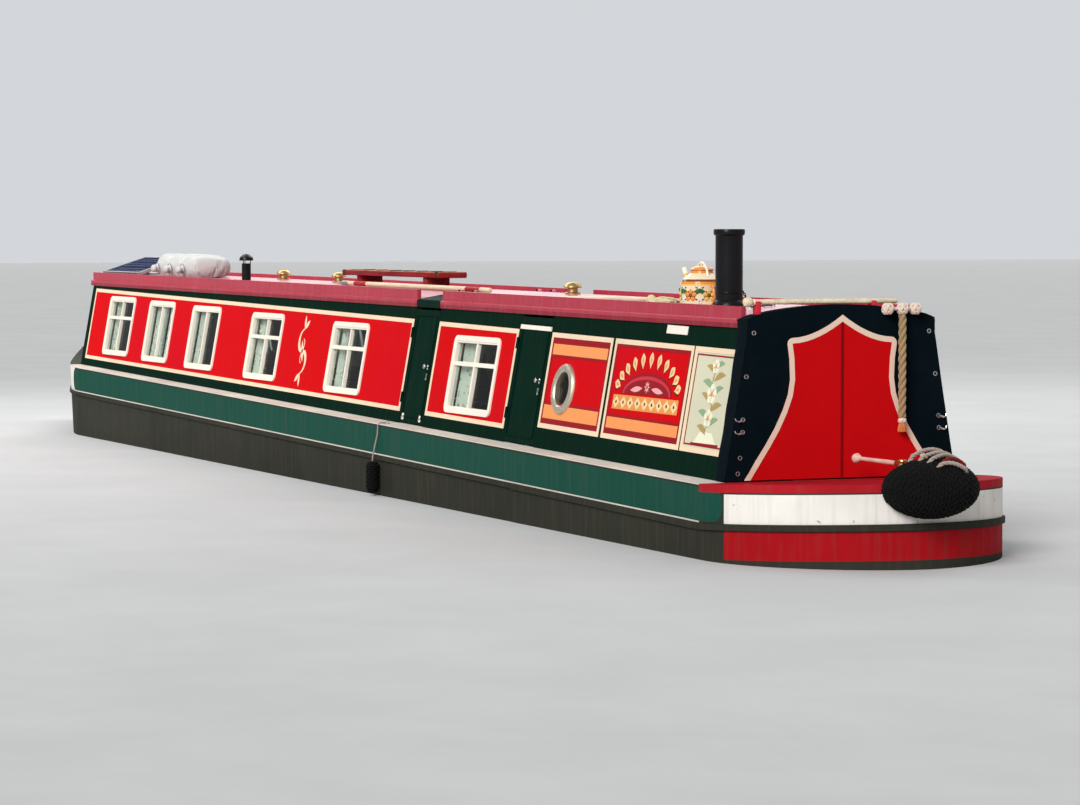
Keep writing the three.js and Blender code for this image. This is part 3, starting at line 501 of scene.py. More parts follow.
def border(bm, outline, width, near, far, paint=0):
    """Only the rim of such a shape, width wide inwards from the outline."""
    part = bmesh.new()
    face = part.faces.new([part.verts.new((a, near, b)) for a, b in outline])
    face.normal_update()
    rim = bmesh.ops.inset_region(part, faces=[face], thickness=width, use_boundary=True,
                                 use_even_offset=True)["faces"]
    bmesh.ops.delete(part, geom=[face], context="FACES_ONLY")
    thicken(part, rim, far - near)
    put_in(bm, part, paint)


def oblong(a, b, c, d, inset=0.0):
    """The corners of an upright oblong from (a, b) to (c, d)."""
    a, b, c, d = a + inset, b + inset, c - inset, d - inset
    return [(a, b), (c, b), (c, d), (a, d)]


def diamond(centre, reach, tall):
    a, b = centre
    return [(a - reach, b), (a, b - tall), (a + reach, b), (a, b + tall)]


def arc(centre, radius, start, end, steps):
    """Points on an arc, in degrees; radius is one number, or one across and one up."""
    wide, tall = radius if isinstance(radius, tuple) else (radius, radius)
    turns = [math.radians(start + (end - start) * k / steps) for k in range(steps + 1)]
    return [(centre[0] + wide * math.cos(a), centre[1] + tall * math.sin(a)) for a in turns]


def round_about(centre, radius, count, first=0.0):
    """Evenly spaced points on a circle; first is the share of a step before the first one."""
    turns = [math.tau * (k + first) / count for k in range(count)]
    return [(centre[0] + radius * math.cos(a), centre[1] + radius * math.sin(a)) for a in turns]


def swept(paths, radius, resolution=2, closed=False):
    """Round bars along lines: curves with a bevel, made a mesh."""
    curve = bpy.data.curves.new("sweep", "CURVE")
    curve.dimensions = "3D"
    curve.bevel_depth = radius
    curve.bevel_resolution = resolution
    curve.use_fill_caps = True
    for path in paths:
        spline = curve.splines.new("POLY")
        spline.points.add(len(path) - 1)
        for point, place in zip(spline.points, path):
            point.co = (*place, 1)
        spline.use_cyclic_u = closed
    holder = bpy.data.objects.new("sweep", curve)
    mesh = bpy.data.meshes.new_from_object(holder)
    bm = bmesh.new()
    bm.from_mesh(mesh)
    bpy.data.objects.remove(holder)
    bpy.data.curves.remove(curve)
    bpy.data.meshes.remove(mesh)
    return bm


print("shapes ready")

# %% [markdown]
# A laid rope is three strands twisted round each other. Each strand is a helix round the rope's own
# line, and its cotton is drawn by a fine stripe that runs round the strand. The rope beside the bell
# hangs straight from its knot, at its real length.

# %% Rope work
# the second colour of each rope is painted shade: the dark that stands in for shadow in the grooves between
# the yarns
ROPES = {  # colour, dark between the yarns, roughness, sheen, specular
    "buff_rope": ((0.52, 0.36, 0.17), (0.20, 0.12, 0.05), 0.85, 0.4, 0.10),
    "mop_cotton": ((0.84, 0.74, 0.44), (0.55, 0.46, 0.24), 0.9, 0.4, 0.10),
    "knot_cotton": ((0.86, 0.72, 0.62), (0.60, 0.45, 0.36), 0.85, 0.4, 0.10),
    "tassel_cotton": ((0.80, 0.26, 0.06), (0.50, 0.12, 0.03), 0.9, 0.4, 0.10),
    "fender_rope": ((0.010, 0.0095, 0.009), (0.002, 0.002, 0.002), 0.8, 0.02, 0.04),
    "fender_lashing": ((0.50, 0.40, 0.34), (0.26, 0.19, 0.16), 0.85, 0.4, 0.10),
    "red_lashing": ((0.30, 0.015, 0.010), (0.12, 0.006, 0.005), 0.85, 0.1, 0.10),
    "tie_string": ((0.35, 0.34, 0.32), (0.15, 0.15, 0.14), 0.85, 0.4, 0.10),
}
ROPE_TOP = 2.1077
ROPE_FOOT = 1.44
ROPE_X = along(1.122 - 0.0343)
ROPE_Y = -0.42
ROPE_DIAMETER = 0.052
STRANDS = 3


def rope_paint(name, colour, dark, roughness, sheen, specular):
    """Twisted yarn: fine slanting threads in colour and bump. The dark between the threads is painted shade
    of the grooves between the yarns, mixed with random tone.
    """
    pot = new_pot(name, roughness, sheen=sheen, specular=specular)
    threads = pot.wave("DIAGONAL", 55.0, 2.5, 2.0, 3.0)
    # painted shade: the threads' pattern darkens the grooves between the yarns; the noise adds random tone
    worn = pot.times(pot.calc("ADD", threads, pot.noise(90.0, 3.0, 0.7)), 0.5)
    dryness = pot.ramp(pot.use("weather")["fade"], 0, 1, roughness - 0.1, roughness + 0.1)
    pot.finish(pot.mix(worn, dark, colour), dryness, worn, 0.5, 0.003)


def laid(path, diameter, pitch):
    """The helix lines of a rope's strands round its own line."""
    points = [Vector(p) for p in path]
    lengths = [0.0]
    for a, b in zip(points, points[1:]):
        lengths.append(lengths[-1] + (b - a).length)
    total = lengths[-1]
    count = max(8, round(total / pitch * 14))
    side = Vector((0.31, 0.95, 0.05))
    lines = [[] for _ in range(STRANDS)]
    at = 0
    for step in range(count + 1):
        reach = total * step / count
        while at < len(points) - 2 and lengths[at + 1] < reach:
            at += 1
        span = lengths[at + 1] - lengths[at]
        centre = points[at].lerp(points[at + 1], (reach - lengths[at]) / span)
        way = (points[at + 1] - points[at]).normalized()
        side = (side - way * side.dot(way)).normalized()
        across = way.cross(side)
        for k, line in enumerate(lines):
            angle = math.tau * (reach / pitch + k / STRANDS)
            line.append(centre + (side * math.cos(angle) + across * math.sin(angle)) * diameter * 0.268)
    return swept(lines, diameter * 0.245)


for name, look in ROPES.items():
    rope_paint(name, *look)
rope_line = [(ROPE_X, ROPE_Y, ROPE_TOP + (ROPE_FOOT - ROPE_TOP) * i / 15) for i in range(16)]
rope = piece("hanging_rope_laid", laid(rope_line, ROPE_DIAMETER, 0.17), "buff_rope",
             stands_for=["hanging_rope"], smooth=60)
print("rope", round(ROPE_TOP - ROPE_FOOT, 3), "m")

# %% [markdown]
# The hull is blacked below the rubbing strake. Above it runs a green band with rounded ends, and round
# the counter the bands turn white and red; a white flash follows the green at the bow. Signwriters mask
# these lines off the gunwale, so the material does the same. Two thin pale lines, along the gunwale's
# edge and along the top of the rubbing strake, are painted highlights: the bright sky's sheen on those
# edges, put into the colour. A table lists the bands by their heights over the gunwale and their
# stations, and a loop stacks them, one over the other.

# %% Material: hull paint
BLACKING = (0.030, 0.030, 0.023)
HULL_GREEN = (0.006, 0.056, 0.038)
COUNTER_WHITE = (0.78, 0.74, 0.68)
# painted highlight: a pale cream that stands in for the bright sky's sheen on the gunwale's edge and the
# strake's top
SHEEN_LINE_CREAM = (0.66, 0.61, 0.53)
FAR = 20.0
END_RADIUS = 0.112      # the green band's half-round ends
GREEN_HEARTS = {"MINIMUM": 0.972, "MAXIMUM": 15.908}    # their hearts' stations, aft and forward
BAND_MIDDLE = -0.132
PAINTED_BANDS = {  # lower and upper edge over the gunwale, first and last station, colour
    "counter white": (-0.248, -0.062, -1.0, 0.848, COUNTER_WHITE),
    "counter red": (-0.475, -0.296, -1.0, 0.848, (0.33, 0.006, 0.010)),
    "deck": (-0.052, 0.5, -1.0, LOWEST, (0.40, 0.012, 0.020)),
    # the next two bands are painted highlights: thin pale lines of sky sheen along the gunwale's edge and the
    # rubbing strake's top
    "gunwale sheen line": (-0.007, 0.003, LOWEST, CABIN_FRONT, SHEEN_LINE_CREAM),
    "strake sheen line": (-0.2475, -0.2375, LOWEST, STEM, SHEEN_LINE_CREAM),
    "mooring stud": (0.014, 1.0, 17.8, 18.0, COUNTER_WHITE),
}
WELL_STATION = 17.05    # where the well deck's sides turn in to the stem
WELL_HALF = 0.61
WELL_SLOPES = (-0.243, -0.40)


def end_distance(pot, lines, way):
    """Distance from the band's middle line, or beyond its end from the heart of the half round."""
    beyond = pot.calc(way, pot.less(lines["station"], GREEN_HEARTS[way]), 0.0)
    above = pot.less(lines["over gunwale"], BAND_MIDDLE)
    return pot.calc("SQRT", pot.calc("ADD", pot.calc("POWER", beyond, 2.0), pot.calc("POWER", above, 2.0)))


def outside_well(pot, lines):
    """1 on the outside of the bow, 0 on the inner side of the well deck."""
    inner = 5.0
    for slope in WELL_SLOPES:
        side = pot.calc("MULTIPLY_ADD", lines["station"], slope, WELL_HALF - slope * WELL_STATION)
        inner = pot.calc("MINIMUM", side, inner)
    return pot.stripe(pot.less(lines["athwart"], inner), 0.008, 5.0, 0.004)


def hull_paint():
    pot = new_pot("hull_paint", 0.32, coat=0.07, specular=0.0)
    lines = pot.use("boat lines")
    over, station = lines["over gunwale"], lines["station"]
    green = pot.times(pot.stripe(over, -0.238, -0.008),
                      pot.stripe(end_distance(pot, lines, "MINIMUM"), -1.0, END_RADIUS))
    colour = pot.mix(green, BLACKING, pot.faded(HULL_GREEN, (0.014, 0.078, 0.056)))
    past_green = pot.times(pot.stripe(end_distance(pot, lines, "MAXIMUM"), END_RADIUS, FAR),
                           pot.stripe(station, GREEN_HEARTS["MAXIMUM"], FAR))
    flash = pot.times(pot.times(past_green, outside_well(pot, lines)), pot.stripe(over, -0.238, -0.004))
    colour = pot.mix(flash, colour, COUNTER_WHITE)
    masks = {}
    for name, (low, high, first, last, band_colour) in PAINTED_BANDS.items():
        masks[name] = pot.times(pot.stripe(over, low, high), pot.stripe(station, first, last))
        colour = pot.mix(masks[name], colour, band_colour)
    scuffed = pot.times(pot.times(pot.use("weather")["scuffs"], 0.7), masks["counter white"])
    colour = pot.mix(scuffed, colour, (0.16, 0.15, 0.13))
    pot.weathered(colour, fade=0.16, runs=0.22, low=0.2, high=0.4, peel=0.08)


def dress(material, *names):
    """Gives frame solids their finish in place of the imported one."""
    for name in names:
        nodes[name].data.materials.clear()
        nodes[name].data.materials.append(paints[material])


hull_paint()
dress("hull_paint", "hull_side_port", "hull_side_starboard", "stern_hull", "bow_hull", "baseplate",
      "rudder")
print("bands", len(PAINTED_BANDS) + 2)

# %% [markdown]
# The cabin sides are dark green with big red panels. The panels' edges fan out a little towards the
# stern, so two sloping lines bound them all, and a list of stations cuts them to length. Inside, the
# steel is lined with varnished boards; the shader knows the inside by how far a point lies inward.

# %% Material: cabin side
CABIN_GREEN = (0.0018, 0.015, 0.0085)
SIGNAL_RED = (0.56, 0.0035, 0.0045)
PANELS = {  # first station, last station
    "garland": (1.20, 1.89),
    "arch": (1.91, 3.16),
    "porthole": (3.20, 4.265),
    "short": (4.885, 6.485),
    "long": (7.035, 16.22),
}
LINES_FROM = 2.9
LOW_LINE = (1.2205, 0.0125)     # height at that station, rise
HIGH_LINE = (1.9060, 0.0115)
WINDOW_PANELS_FROM = 4.87       # forward of this station the lower line drops
WINDOW_PANELS_DROP = 0.050


def panel_low(s):
    drop = WINDOW_PANELS_DROP if s > WINDOW_PANELS_FROM else 0
    return LOW_LINE[0] + LOW_LINE[1] * (s - LINES_FROM) - drop


def panel_high(s):
    return HIGH_LINE[0] + HIGH_LINE[1] * (s - LINES_FROM)


def height_over(pot, lines, line):
    level, rise = line
    here = pot.calc("MULTIPLY_ADD", lines["station"], rise, level - rise * LINES_FROM)
    return pot.less(lines["height"], here)


def cabin_paint():
    pot = new_pot("cabin_paint", 0.3, coat=0.08, coat_roughness=0.08, specular=0.0)
    lines = pot.use("boat lines")
    station = lines["station"]
    forward = pot.stripe(station, WINDOW_PANELS_FROM, FAR)
    over_low = pot.calc("MULTIPLY_ADD", forward, WINDOW_PANELS_DROP, height_over(pot, lines, LOW_LINE))
    between = pot.times(pot.stripe(over_low, 0.0, 5.0),
                        pot.stripe(height_over(pot, lines, HIGH_LINE), -5.0, 0.0))
    spans = 0.0
    for first, last in PANELS.values():
        spans = pot.calc("MAXIMUM", pot.stripe(station, first, last), spans)
    red = pot.faded(SIGNAL_RED, (0.60, 0.004, 0.012))
    field = pot.mix(pot.stripe(station, *PANELS["garland"]), red, (0.62, 0.60, 0.44))
    colour = pot.mix(pot.times(between, spans), CABIN_GREEN, field)
    boards = pot.noise(3.0, 4.0, 0.6, pot.place((0.6, 8, 8)))
    lining = pot.mix(boards, (0.050, 0.020, 0.008), (0.11, 0.050, 0.020))
    inside = pot.times(pot.stripe(lines["inward"], 0.012, 5.0),
                       pot.stripe(station, CABIN_REAR + 0.01, CABIN_FRONT - 0.01))
    pot.weathered(pot.mix(inside, colour, lining), fade=0.07, runs=0.05, low=0.16, high=0.30, peel=0.035)


cabin_paint()
WALLS = [f"cabin_side_{side}_{place}" for side in SIDE_NAMES.values() for place in ("aft", "mid", "fore")]
dress("cabin_paint", *WALLS)
print("walls painted", len(WALLS))

# %% [markdown]
# Doors, hatches and bulkheads are plain dark green. The roof has its own red, faded pink where the sun
# lies on it, with fine sand in the paint so that boots grip. Its top between the handrails is a paler
# pink than the rails: partly that sun fading, partly a painted sheen of the bright sky. The roof plate's
# edge just over the eaves is a darker red, which is painted shade under the handrail.

# %% Materials: green doors and the roof
RAIL_INNER = 0.075      # the handrail's inner foot, in from the cabin side's plane


def enamel(name, colour, sunned, wear, **shell):
    """Plain enamel. Wear is its fading, its runs, its least and most roughness and its orange peel."""
    pot = new_pot(name, 0.3, **shell)
    pot.weathered(pot.faded(colour, sunned), *wear)


def roof_paint():
    pot = new_pot("roof_paint", 0.35, coat=0.15, coat_roughness=0.18, specular=0.08)
    lines = pot.use("boat lines")
    signs = pot.use("weather")
    rails = pot.stripe(lines["inward"], -1.0, RAIL_INNER)
    # painted sheen, in part: the top between the rails gets a paler pink than the rails, for the sky's sheen
    # on it, with real sun fading on both
    colour = pot.mix(rails, pot.faded((0.50, 0.12, 0.16), (0.62, 0.30, 0.34)),
                     pot.faded((0.40, 0.022, 0.045), (0.44, 0.040, 0.070)))
    # painted shade: the roof plate's edge just over the eaves is a darker red, for the shade under the
    # handrail
    colour = pot.mix(pot.stripe(lines["over eaves"], -1.0, 0.03), colour, (0.25, 0.008, 0.022))
    colour = pot.mix(pot.times(signs["runs"], 0.12), colour, (0.42, 0.34, 0.30))
    pot.finish(colour, pot.ramp(signs["fade"], 0, 1, 0.26, 0.5), pot.noise(260.0, 2.0, 0.7), 0.12)


enamel("green_paint", CABIN_GREEN, (0.003, 0.021, 0.013), (0.10, 0.05, 0.16, 0.3, 0.04),
       coat=0.08, coat_roughness=0.08, specular=0.0)
roof_paint()
HATCHES = [f"side_hatch_{side}_{place}" for side in SIDE_NAMES.values() for place in ("aft", "mid")]
dress("green_paint", *HATCHES, "rear_bulkhead", "front_bulkhead", "front_door_port",
      "front_door_starboard", "roof_flap_port", "roof_flap_starboard")
dress("roof_paint", "roof_aft", "roof_centre", "roof_fore")
print("doors", len(HATCHES) + 2)

# %% [markdown]
# The designs on the cabin side are drawn flat, in stations, distances out and heights, and then bent
# on to the leaning wall. Both sides of a boat carry the same signwriting, so each design is drawn once
# and laid on port and starboard. Each line of paint is a thin plate, which keeps its edge crisp. Every
# signwriter's colour is one recipe, brush marks in two near shades, so a table is enough for them all.

# %% Laying a design on the cabin sides
LEAN_COS = math.cos(math.atan(LEAN))
LEAN_SIN = math.sin(math.atan(LEAN))
BORDER_WIDTH = 0.034
PAINT_BACK = -0.0015
PAINT_OUT = 0.002
COAT = 0.0004           # one coat of paint over another
SIGN_COLOURS = {  # fresh, worn
    "cream_line": ((0.87, 0.68, 0.47), (0.80, 0.62, 0.44)),
    "orange_band": ((0.86, 0.27, 0.075), (0.90, 0.36, 0.13)),
    "dark_red_line": ((0.26, 0.004, 0.010), (0.32, 0.008, 0.015)),
    "window_white": ((0.88, 0.82, 0.70), (0.80, 0.74, 0.64)),
    "arch_cream": ((0.86, 0.66, 0.36), (0.84, 0.58, 0.28)),
    "arch_gold": ((0.78, 0.33, 0.09), (0.72, 0.24, 0.06)),
    "shadow_brown": ((0.10, 0.006, 0.004), (0.16, 0.012, 0.008)),
    "rosy_red": ((0.62, 0.035, 0.060), (0.56, 0.02, 0.04)),
    "star_pink": ((0.86, 0.42, 0.40), (0.80, 0.34, 0.34)),
    "sage_leaf": ((0.30, 0.42, 0.24), (0.22, 0.34, 0.20)),
    "ochre_leaf": ((0.50, 0.36, 0.13), (0.36, 0.24, 0.08)),
    "petal_white": ((0.86, 0.84, 0.66), (0.80, 0.78, 0.58)),
    "panel_red": (SIGNAL_RED, (0.50, 0.004, 0.008)),
    "rose_pink": ((0.80, 0.24, 0.22), (0.72, 0.16, 0.16)),
}


def lay_on(verts, side):
    for v in verts:
        s, out, z = v.co
        v.co = (along(s), side * (side_y(s, z) + out * LEAN_COS), z + out * LEAN_SIN)


def on_both_sides(bm):
    drawn = list(bm.verts)
    copied = bmesh.ops.duplicate(bm, geom=drawn + list(bm.edges) + list(bm.faces))["geom"]
    lay_on(drawn, 1)
    lay_on(only(bmesh.types.BMVert, copied), -1)
    return bm


def strip(first, last, low, high, near=0.0, far=0.0):
    """The corners of a shape between two lines, near over the low one and far over the high one."""
    return [(first, low(first) + near), (last, low(last) + near), (last, high(last) + far),
            (first, high(first) + far)]


def panel_outline(first, last, inset=0.0):
    """The corners of a red panel, or of a line inset from them."""
    a, b, c, d = strip(first, last, panel_low, panel_high, inset, -inset)
    return [(a[0] + inset, a[1]), (b[0] - inset, b[1]), (c[0] - inset, c[1]), (d[0] + inset, d[1])]


def sign_paint(name, colour, second):
    """Signwriter's enamel, with brush marks and a little wear."""
    pot = new_pot(name, 0.3, coat=0.10, specular=0.05)
    brush = pot.noise(45.0, 3.0, 0.6, pot.place((0.25, 1, 3)))
    blend = pot.times(pot.calc("ADD", pot.use("weather")["fade"], brush), 0.5)
    pot.weathered(pot.mix(blend, colour, second), fade=0.04, runs=0.05)


for name, (fresh, worn) in SIGN_COLOURS.items():
    sign_paint(name, fresh, worn)
bm = bmesh.new()
for first, last in PANELS.values():
    border(bm, panel_outline(first, last), BORDER_WIDTH, PAINT_BACK, PAINT_OUT + COAT)
for key in ("arch", "porthole"):
    border(bm, panel_outline(*PANELS[key], BORDER_WIDTH), 0.022, PAINT_BACK, PAINT_OUT, paint=1)
piece("panel_borders", on_both_sides(bm), "cream_line dark_red_line")
print("borders", len(PANELS))

# %% [markdown]
# Two panels near the stern have orange bars at the top and the foot, with dark red lines beside them.
# A bar follows the panel's sloping edge, so it is given by its distance from that line.

# %% Orange bars
BARS = (  # panel, the line that the bar follows, its lower and upper edge from there
    ("arch", panel_low, 0.066, 0.161),
    ("porthole", panel_low, 0.064, 0.179),
    ("porthole", panel_high, -0.164, -0.069),
)
BAR_INSET = BORDER_WIDTH + 0.024
LINE_HALF = 0.009

bm = bmesh.new()
for key, line, low, high in BARS:
    first, last = PANELS[key][0] + BAR_INSET, PANELS[key][1] - BAR_INSET
    plate(bm, strip(first, last, line, line, low, high), PAINT_BACK, PAINT_OUT)
    for edge in (low, high):
        plate(bm, strip(first, last, line, line, edge - LINE_HALF, edge + LINE_HALF), PAINT_BACK,
              PAINT_OUT + COAT, paint=1)
piece("orange_bars", on_both_sides(bm), "orange_band dark_red_line")
print("bars", len(BARS))

# %% [markdown]
# A steel window has a painted frame that stands a little proud of the wall, with rounded corners, a
# bar or two across the glass and curtains behind. The holes are already cut in the walls. A frame is
# a rounded rectangle with its middle taken out, drawn by the same helpers. Glass keeps a plain
# transmission weight and gets a low index, because a pane is thin.

# %% Windows
WINDOWS = {  # first and last station
    "aft": (5.22, 6.06),
    "second": (8.04, 8.83),
    "third": (10.19, 10.99),
    "fourth": (11.99, 12.77),
    "fifth": (13.43, 14.18),
    "sixth": (14.76, 15.57),
}
NO_BAR_ACROSS = ("fourth", "fifth")
BAR_SHARE = 0.66        # height of the bar across, as a share of the window's
SILL = 0.185
WINDOW_TALL = 0.52
FRAME_WIDTH = 0.036
FRAME_LAP = 0.004       # the frame's inner edge covers the cut edge of the hole
FRAME_PROUD = 0.012
GLASS_BACK = -0.026


def sill(first, last):
    return gunwale((first + last) / 2) + SILL


def rounded(corners, radius):
    """An oblong with round corners; its corners run from the lower left one, as oblong gives them."""
    (left, foot), (far, head) = corners[0], corners[2]
    hearts = ((far - radius, foot + radius), (far - radius, head - radius),
              (left + radius, head - radius), (left + radius, foot + radius))
    return [point for k, heart in enumerate(hearts) for point in arc(heart, radius, 90 * k - 90, 90 * k, 5)]


def glass_pane():
    pot = new_pot("window_glass", 0.03)
    pot.shader.inputs["Transmission Weight"].default_value = 1.0
    pot.shader.inputs["IOR"].default_value = 1.12
    pot.finish(pot.faded((0.80, 0.86, 0.84), (0.70, 0.78, 0.76)),
               pot.ramp(pot.use("weather")["runs"], 0, 1, 0.02, 0.09))


glass_pane()
frames, panes = bmesh.new(), bmesh.new()
for key, (first, last) in WINDOWS.items():
    low = sill(first, last)
    hole = first, low, last, low + WINDOW_TALL
    border(frames, rounded(oblong(*hole, -FRAME_WIDTH), 0.055), FRAME_WIDTH + FRAME_LAP, -0.001, FRAME_PROUD)
    border(frames, oblong(*hole, 0.001), 0.016, -0.046, FRAME_PROUD - 0.006)
    if key not in NO_BAR_ACROSS:
        z = low + WINDOW_TALL * BAR_SHARE
        plate(frames, oblong(first + 0.02, z - 0.016, last - 0.02, z + 0.016), GLASS_BACK - 0.004, 0.004)
    s = (first + last) / 2
    plate(frames, oblong(s - 0.014, hole[1] + 0.02, s + 0.014, hole[3] - 0.02), GLASS_BACK - 0.004, 0.003)
    plate(panes, oblong(*hole, 0.018), GLASS_BACK, GLASS_BACK + 0.004)
piece("window_frames", on_both_sides(frames), "window_white")
piece("window_panes", on_both_sides(panes), "window_glass")
print("windows", 2 * len(WINDOWS))

# %% [markdown]
# The stern cover is canvas stretched over the rear bulkhead and lapped over the roof's edge. Simulated
# cloth would find the same shape: taut, with soft folds that run in from the corners. So the sheet is a
# fine grid that follows the cabin's outline, and one formula for its depth gives it those folds. The
# bell and its binding are sewn on and read the same formula, so they lie on the folds.

# %% The canvas and its folds
COVER_REAR = 1.122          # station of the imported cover's aft face
COVER_LAP_END = 1.28
COVER_FOOT = 1.052
COVER_OVER = 0.021          # how far the canvas stands off the steel
COVER_LEAST = 0.686         # half width of the cover at its flap
FOLD_CORNERS = ((0.68, 2.06), (-0.68, 2.06), (0.84, 1.06), (-0.84, 1.06))
THREADS_A_METRE = 66.879
LAP_STEPS = 6
CLOTHS = {  # two near colours of the dye
    "canvas_black": ((0.0012, 0.0038, 0.0055), (0.004, 0.009, 0.013)),
    "canvas_red": ((0.60, 0.0045, 0.006), (0.50, 0.003, 0.006)),
    "canvas_cream": ((0.84, 0.66, 0.52), (0.74, 0.55, 0.42)),
    "seam_thread": ((0.12, 0.002, 0.004), (0.20, 0.004, 0.006)),
}


def cover_half(z):
    return max(side_y(CABIN_REAR, z) + COVER_OVER, COVER_LEAST)


def cover_crown(y):
    drop = max(0, abs(y) - 0.60) / 0.086
    return roof_z(CABIN_REAR, min(abs(y), 0.653)) + COVER_OVER - 0.02 * drop ** 2


def cover_x(y, z):
    """How far along X the canvas lies at a point of the aft face."""
    depth = 0.010 + 0.004 * noise.noise(Vector((y * 2.1, z * 1.7, 3)))
    for corner_y, corner_z in FOLD_CORNERS:
        reach = math.hypot(y - corner_y, z - corner_z)
        turn = math.atan2(z - corner_z, y - corner_y)
        depth += 0.0035 * math.sin(turn * 15) * math.exp(-((reach - 0.14) / 0.17) ** 2)
    return along(COVER_REAR) + depth


def canvas_cloth(name, colour, second):
    pot = new_pot(name, 0.74, sheen=0.02, specular=0.0)
    weave = pot.calc("MAXIMUM", *(pot.wave(way, THREADS_A_METRE, 0.6, 1.0) for way in "YZ"))
    blotch = pot.noise(5.0, 5.0, 0.65)
    pot.finish(pot.mix(blotch, colour, second), pot.ramp(blotch, 0.3, 0.7, 0.5, 0.75), weave, 0.25, 0.001)


def stern_cover():
    bm = bmesh.new()
    bmesh.ops.create_grid(bm, x_segments=56, y_segments=44, size=1)
    for v in bm.verts:
        u, share = v.co.x, (v.co.y + 1) / 2
        y = u * cover_half(COVER_FOOT + share)
        z = COVER_FOOT + share * (cover_crown(y) - COVER_FOOT)
        v.co = (cover_x(y, z), y, z)
    edge = [e for e in bm.edges if e.is_boundary
            and (e.verts[0].co.z + e.verts[1].co.z) / 2 > COVER_FOOT + 0.001]
    start = along(COVER_REAR) + 0.012
    for step in range(LAP_STEPS):
        grown = bmesh.ops.extrude_edge_only(bm, edges=edge)["geom"]
        share = (step + 1) / LAP_STEPS
        tuck = 0.011 * max(0, share - 0.45) ** 2
        for v in only(bmesh.types.BMVert, grown):
            v.co.x = start + (along(COVER_LAP_END) - start) * share
            v.co.x += 0.004 * math.sin(v.co.y * 31 + v.co.z * 27) * share
            if v.co.z > cover_crown(v.co.y) - 0.02:
                v.co.z -= tuck
            else:
                v.co.y -= math.copysign(tuck, v.co.y)
        edge = only(bmesh.types.BMEdge, grown)
    bmesh.ops.recalc_face_normals(bm, faces=bm.faces)
    if sum(f.normal.x for f in bm.faces) > 0:
        bmesh.ops.reverse_faces(bm, faces=bm.faces)
    bmesh.ops.solidify(bm, geom=list(bm.faces), thickness=0.0035)
    return bm


for name, (colour, second) in CLOTHS.items():
    canvas_cloth(name, colour, second)
cover = piece("canvas_cover", stern_cover(), "canvas_black",
              stands_for=["stern_cover"], smooth=50)
print("canvas points", len(cover.data.vertices))

# %% [markdown]
# The bell is drawn as half an outline and mirrored: a point at the top, a hollow sweep to a rounded
# shoulder, a straight waist and a flare to the deck. Cut by rows of planes it gets enough points to
# follow the folds.

# %% The bell panel
BELL_TOP = 2.112
BELL_SHOULDER = (0.40, 1.966)
BELL_CORNER = 0.04
BELL_FLARE = ((0.386, 1.83), (0.380, 1.70), (0.395, 1.60), (0.432, 1.50), (0.487, 1.39), (0.556, 1.28),
              (0.632, 1.17), (0.705, 1.06), (0.745, 1.0))
BELL_BINDING = 0.036
CUT = 0.045             # distance between the planes
STITCH = 0.015


def bell_outline():
    shoulder_y = BELL_SHOULDER[0] - BELL_CORNER
    sweep = BELL_TOP - BELL_SHOULDER[1]
    half = [(shoulder_y * k / 8, BELL_SHOULDER[1] + sweep * (1 - k / 8) ** 1.8) for k in range(9)]
    half += arc((shoulder_y, BELL_SHOULDER[1] - BELL_CORNER), BELL_CORNER, 90, 0, 4)[1:]
    half += BELL_FLARE
    return half + [(-y, z) for y, z in reversed(half[1:])]


def sew(bm, proud):
    """Lays a flat design on the canvas, proud of it."""
    for v in bm.verts:
        y, out, z = v.co
        v.co = (cover_x(y, z) - proud - out, y, z)
    return bm


def in_small_faces(bm):
    """Cuts a flat design by rows of planes, and off below the canvas."""
    cuts = [((level * CUT + 0.001, 0, 0), (1, 0, 0), False) for level in range(-17, 18)]
    cuts += [((0, 0, 1.0555 + level * CUT), (0, 0, 1), level == 0) for level in range(25)]
    for point, normal, clear in cuts:
        bmesh.ops.bisect_plane(bm, geom=bm.verts[:] + bm.edges[:] + bm.faces[:], plane_co=point,
                               plane_no=normal, clear_inner=clear)
    return bm


bm = bmesh.new()
plate(bm, bell_outline(), 0.0, 0.0012)
bell = piece("bell_panel", sew(in_small_faces(bm), 0.0028), "canvas_red", smooth=50)
bm = bmesh.new()
border(bm, bell_outline(), BELL_BINDING, 0.0, 0.0018)
binding = piece("bell_binding", sew(in_small_faces(bm), 0.0044), "canvas_cream",
                smooth=50)
bm = bmesh.new()
plate(bm, oblong(-0.005, 1.04, 0.005, 2.06), 0.0, 0.0016)
for y in (-0.011, 0.011):
    for step in range(66):
        z = 1.065 + step * STITCH
        plate(bm, oblong(y - 0.0014, z, y + 0.0014, z + 0.009), 0.0, 0.001)
seam = piece("bell_seam", sew(bm, 0.0042), "seam_thread")
print("bell", len(bell.data.polygons), "faces")

# %% [markdown]
# The panels near the stern are the signwriter's showpieces. They carry plain traditional ornament: a
# fan of petals over a half-round with a star, a row of diamonds, and a garland on the pale panel. A leaf
# or a petal is one outline that swells and shrinks along a line. A stroke does the same along a curve,
# as a brush leaves it.

# %% Helpers for painted ornament
def leaf(bm, start, end, width, bend=0.0, out=PAINT_OUT, paint=0, fullest=0.5, steps=7):
    """A pointed leaf from start to end, bent sideways."""
    start, end = Vector(start), Vector(end)
    way = end - start
    aside = Vector((-way.y, way.x)).normalized()
    near, far = [], []
    for k in range(steps + 1):
        t = k / steps
        swell = math.sin(math.pi * t ** (math.log(0.5) / math.log(fullest))) * width / 2
        middle = start + way * t + aside * (bend * 4 * t * (1 - t))
        near.append(middle - aside * swell)
        far.append(middle + aside * swell)
    plate(bm, near + far[-2:0:-1], PAINT_BACK, out, paint)


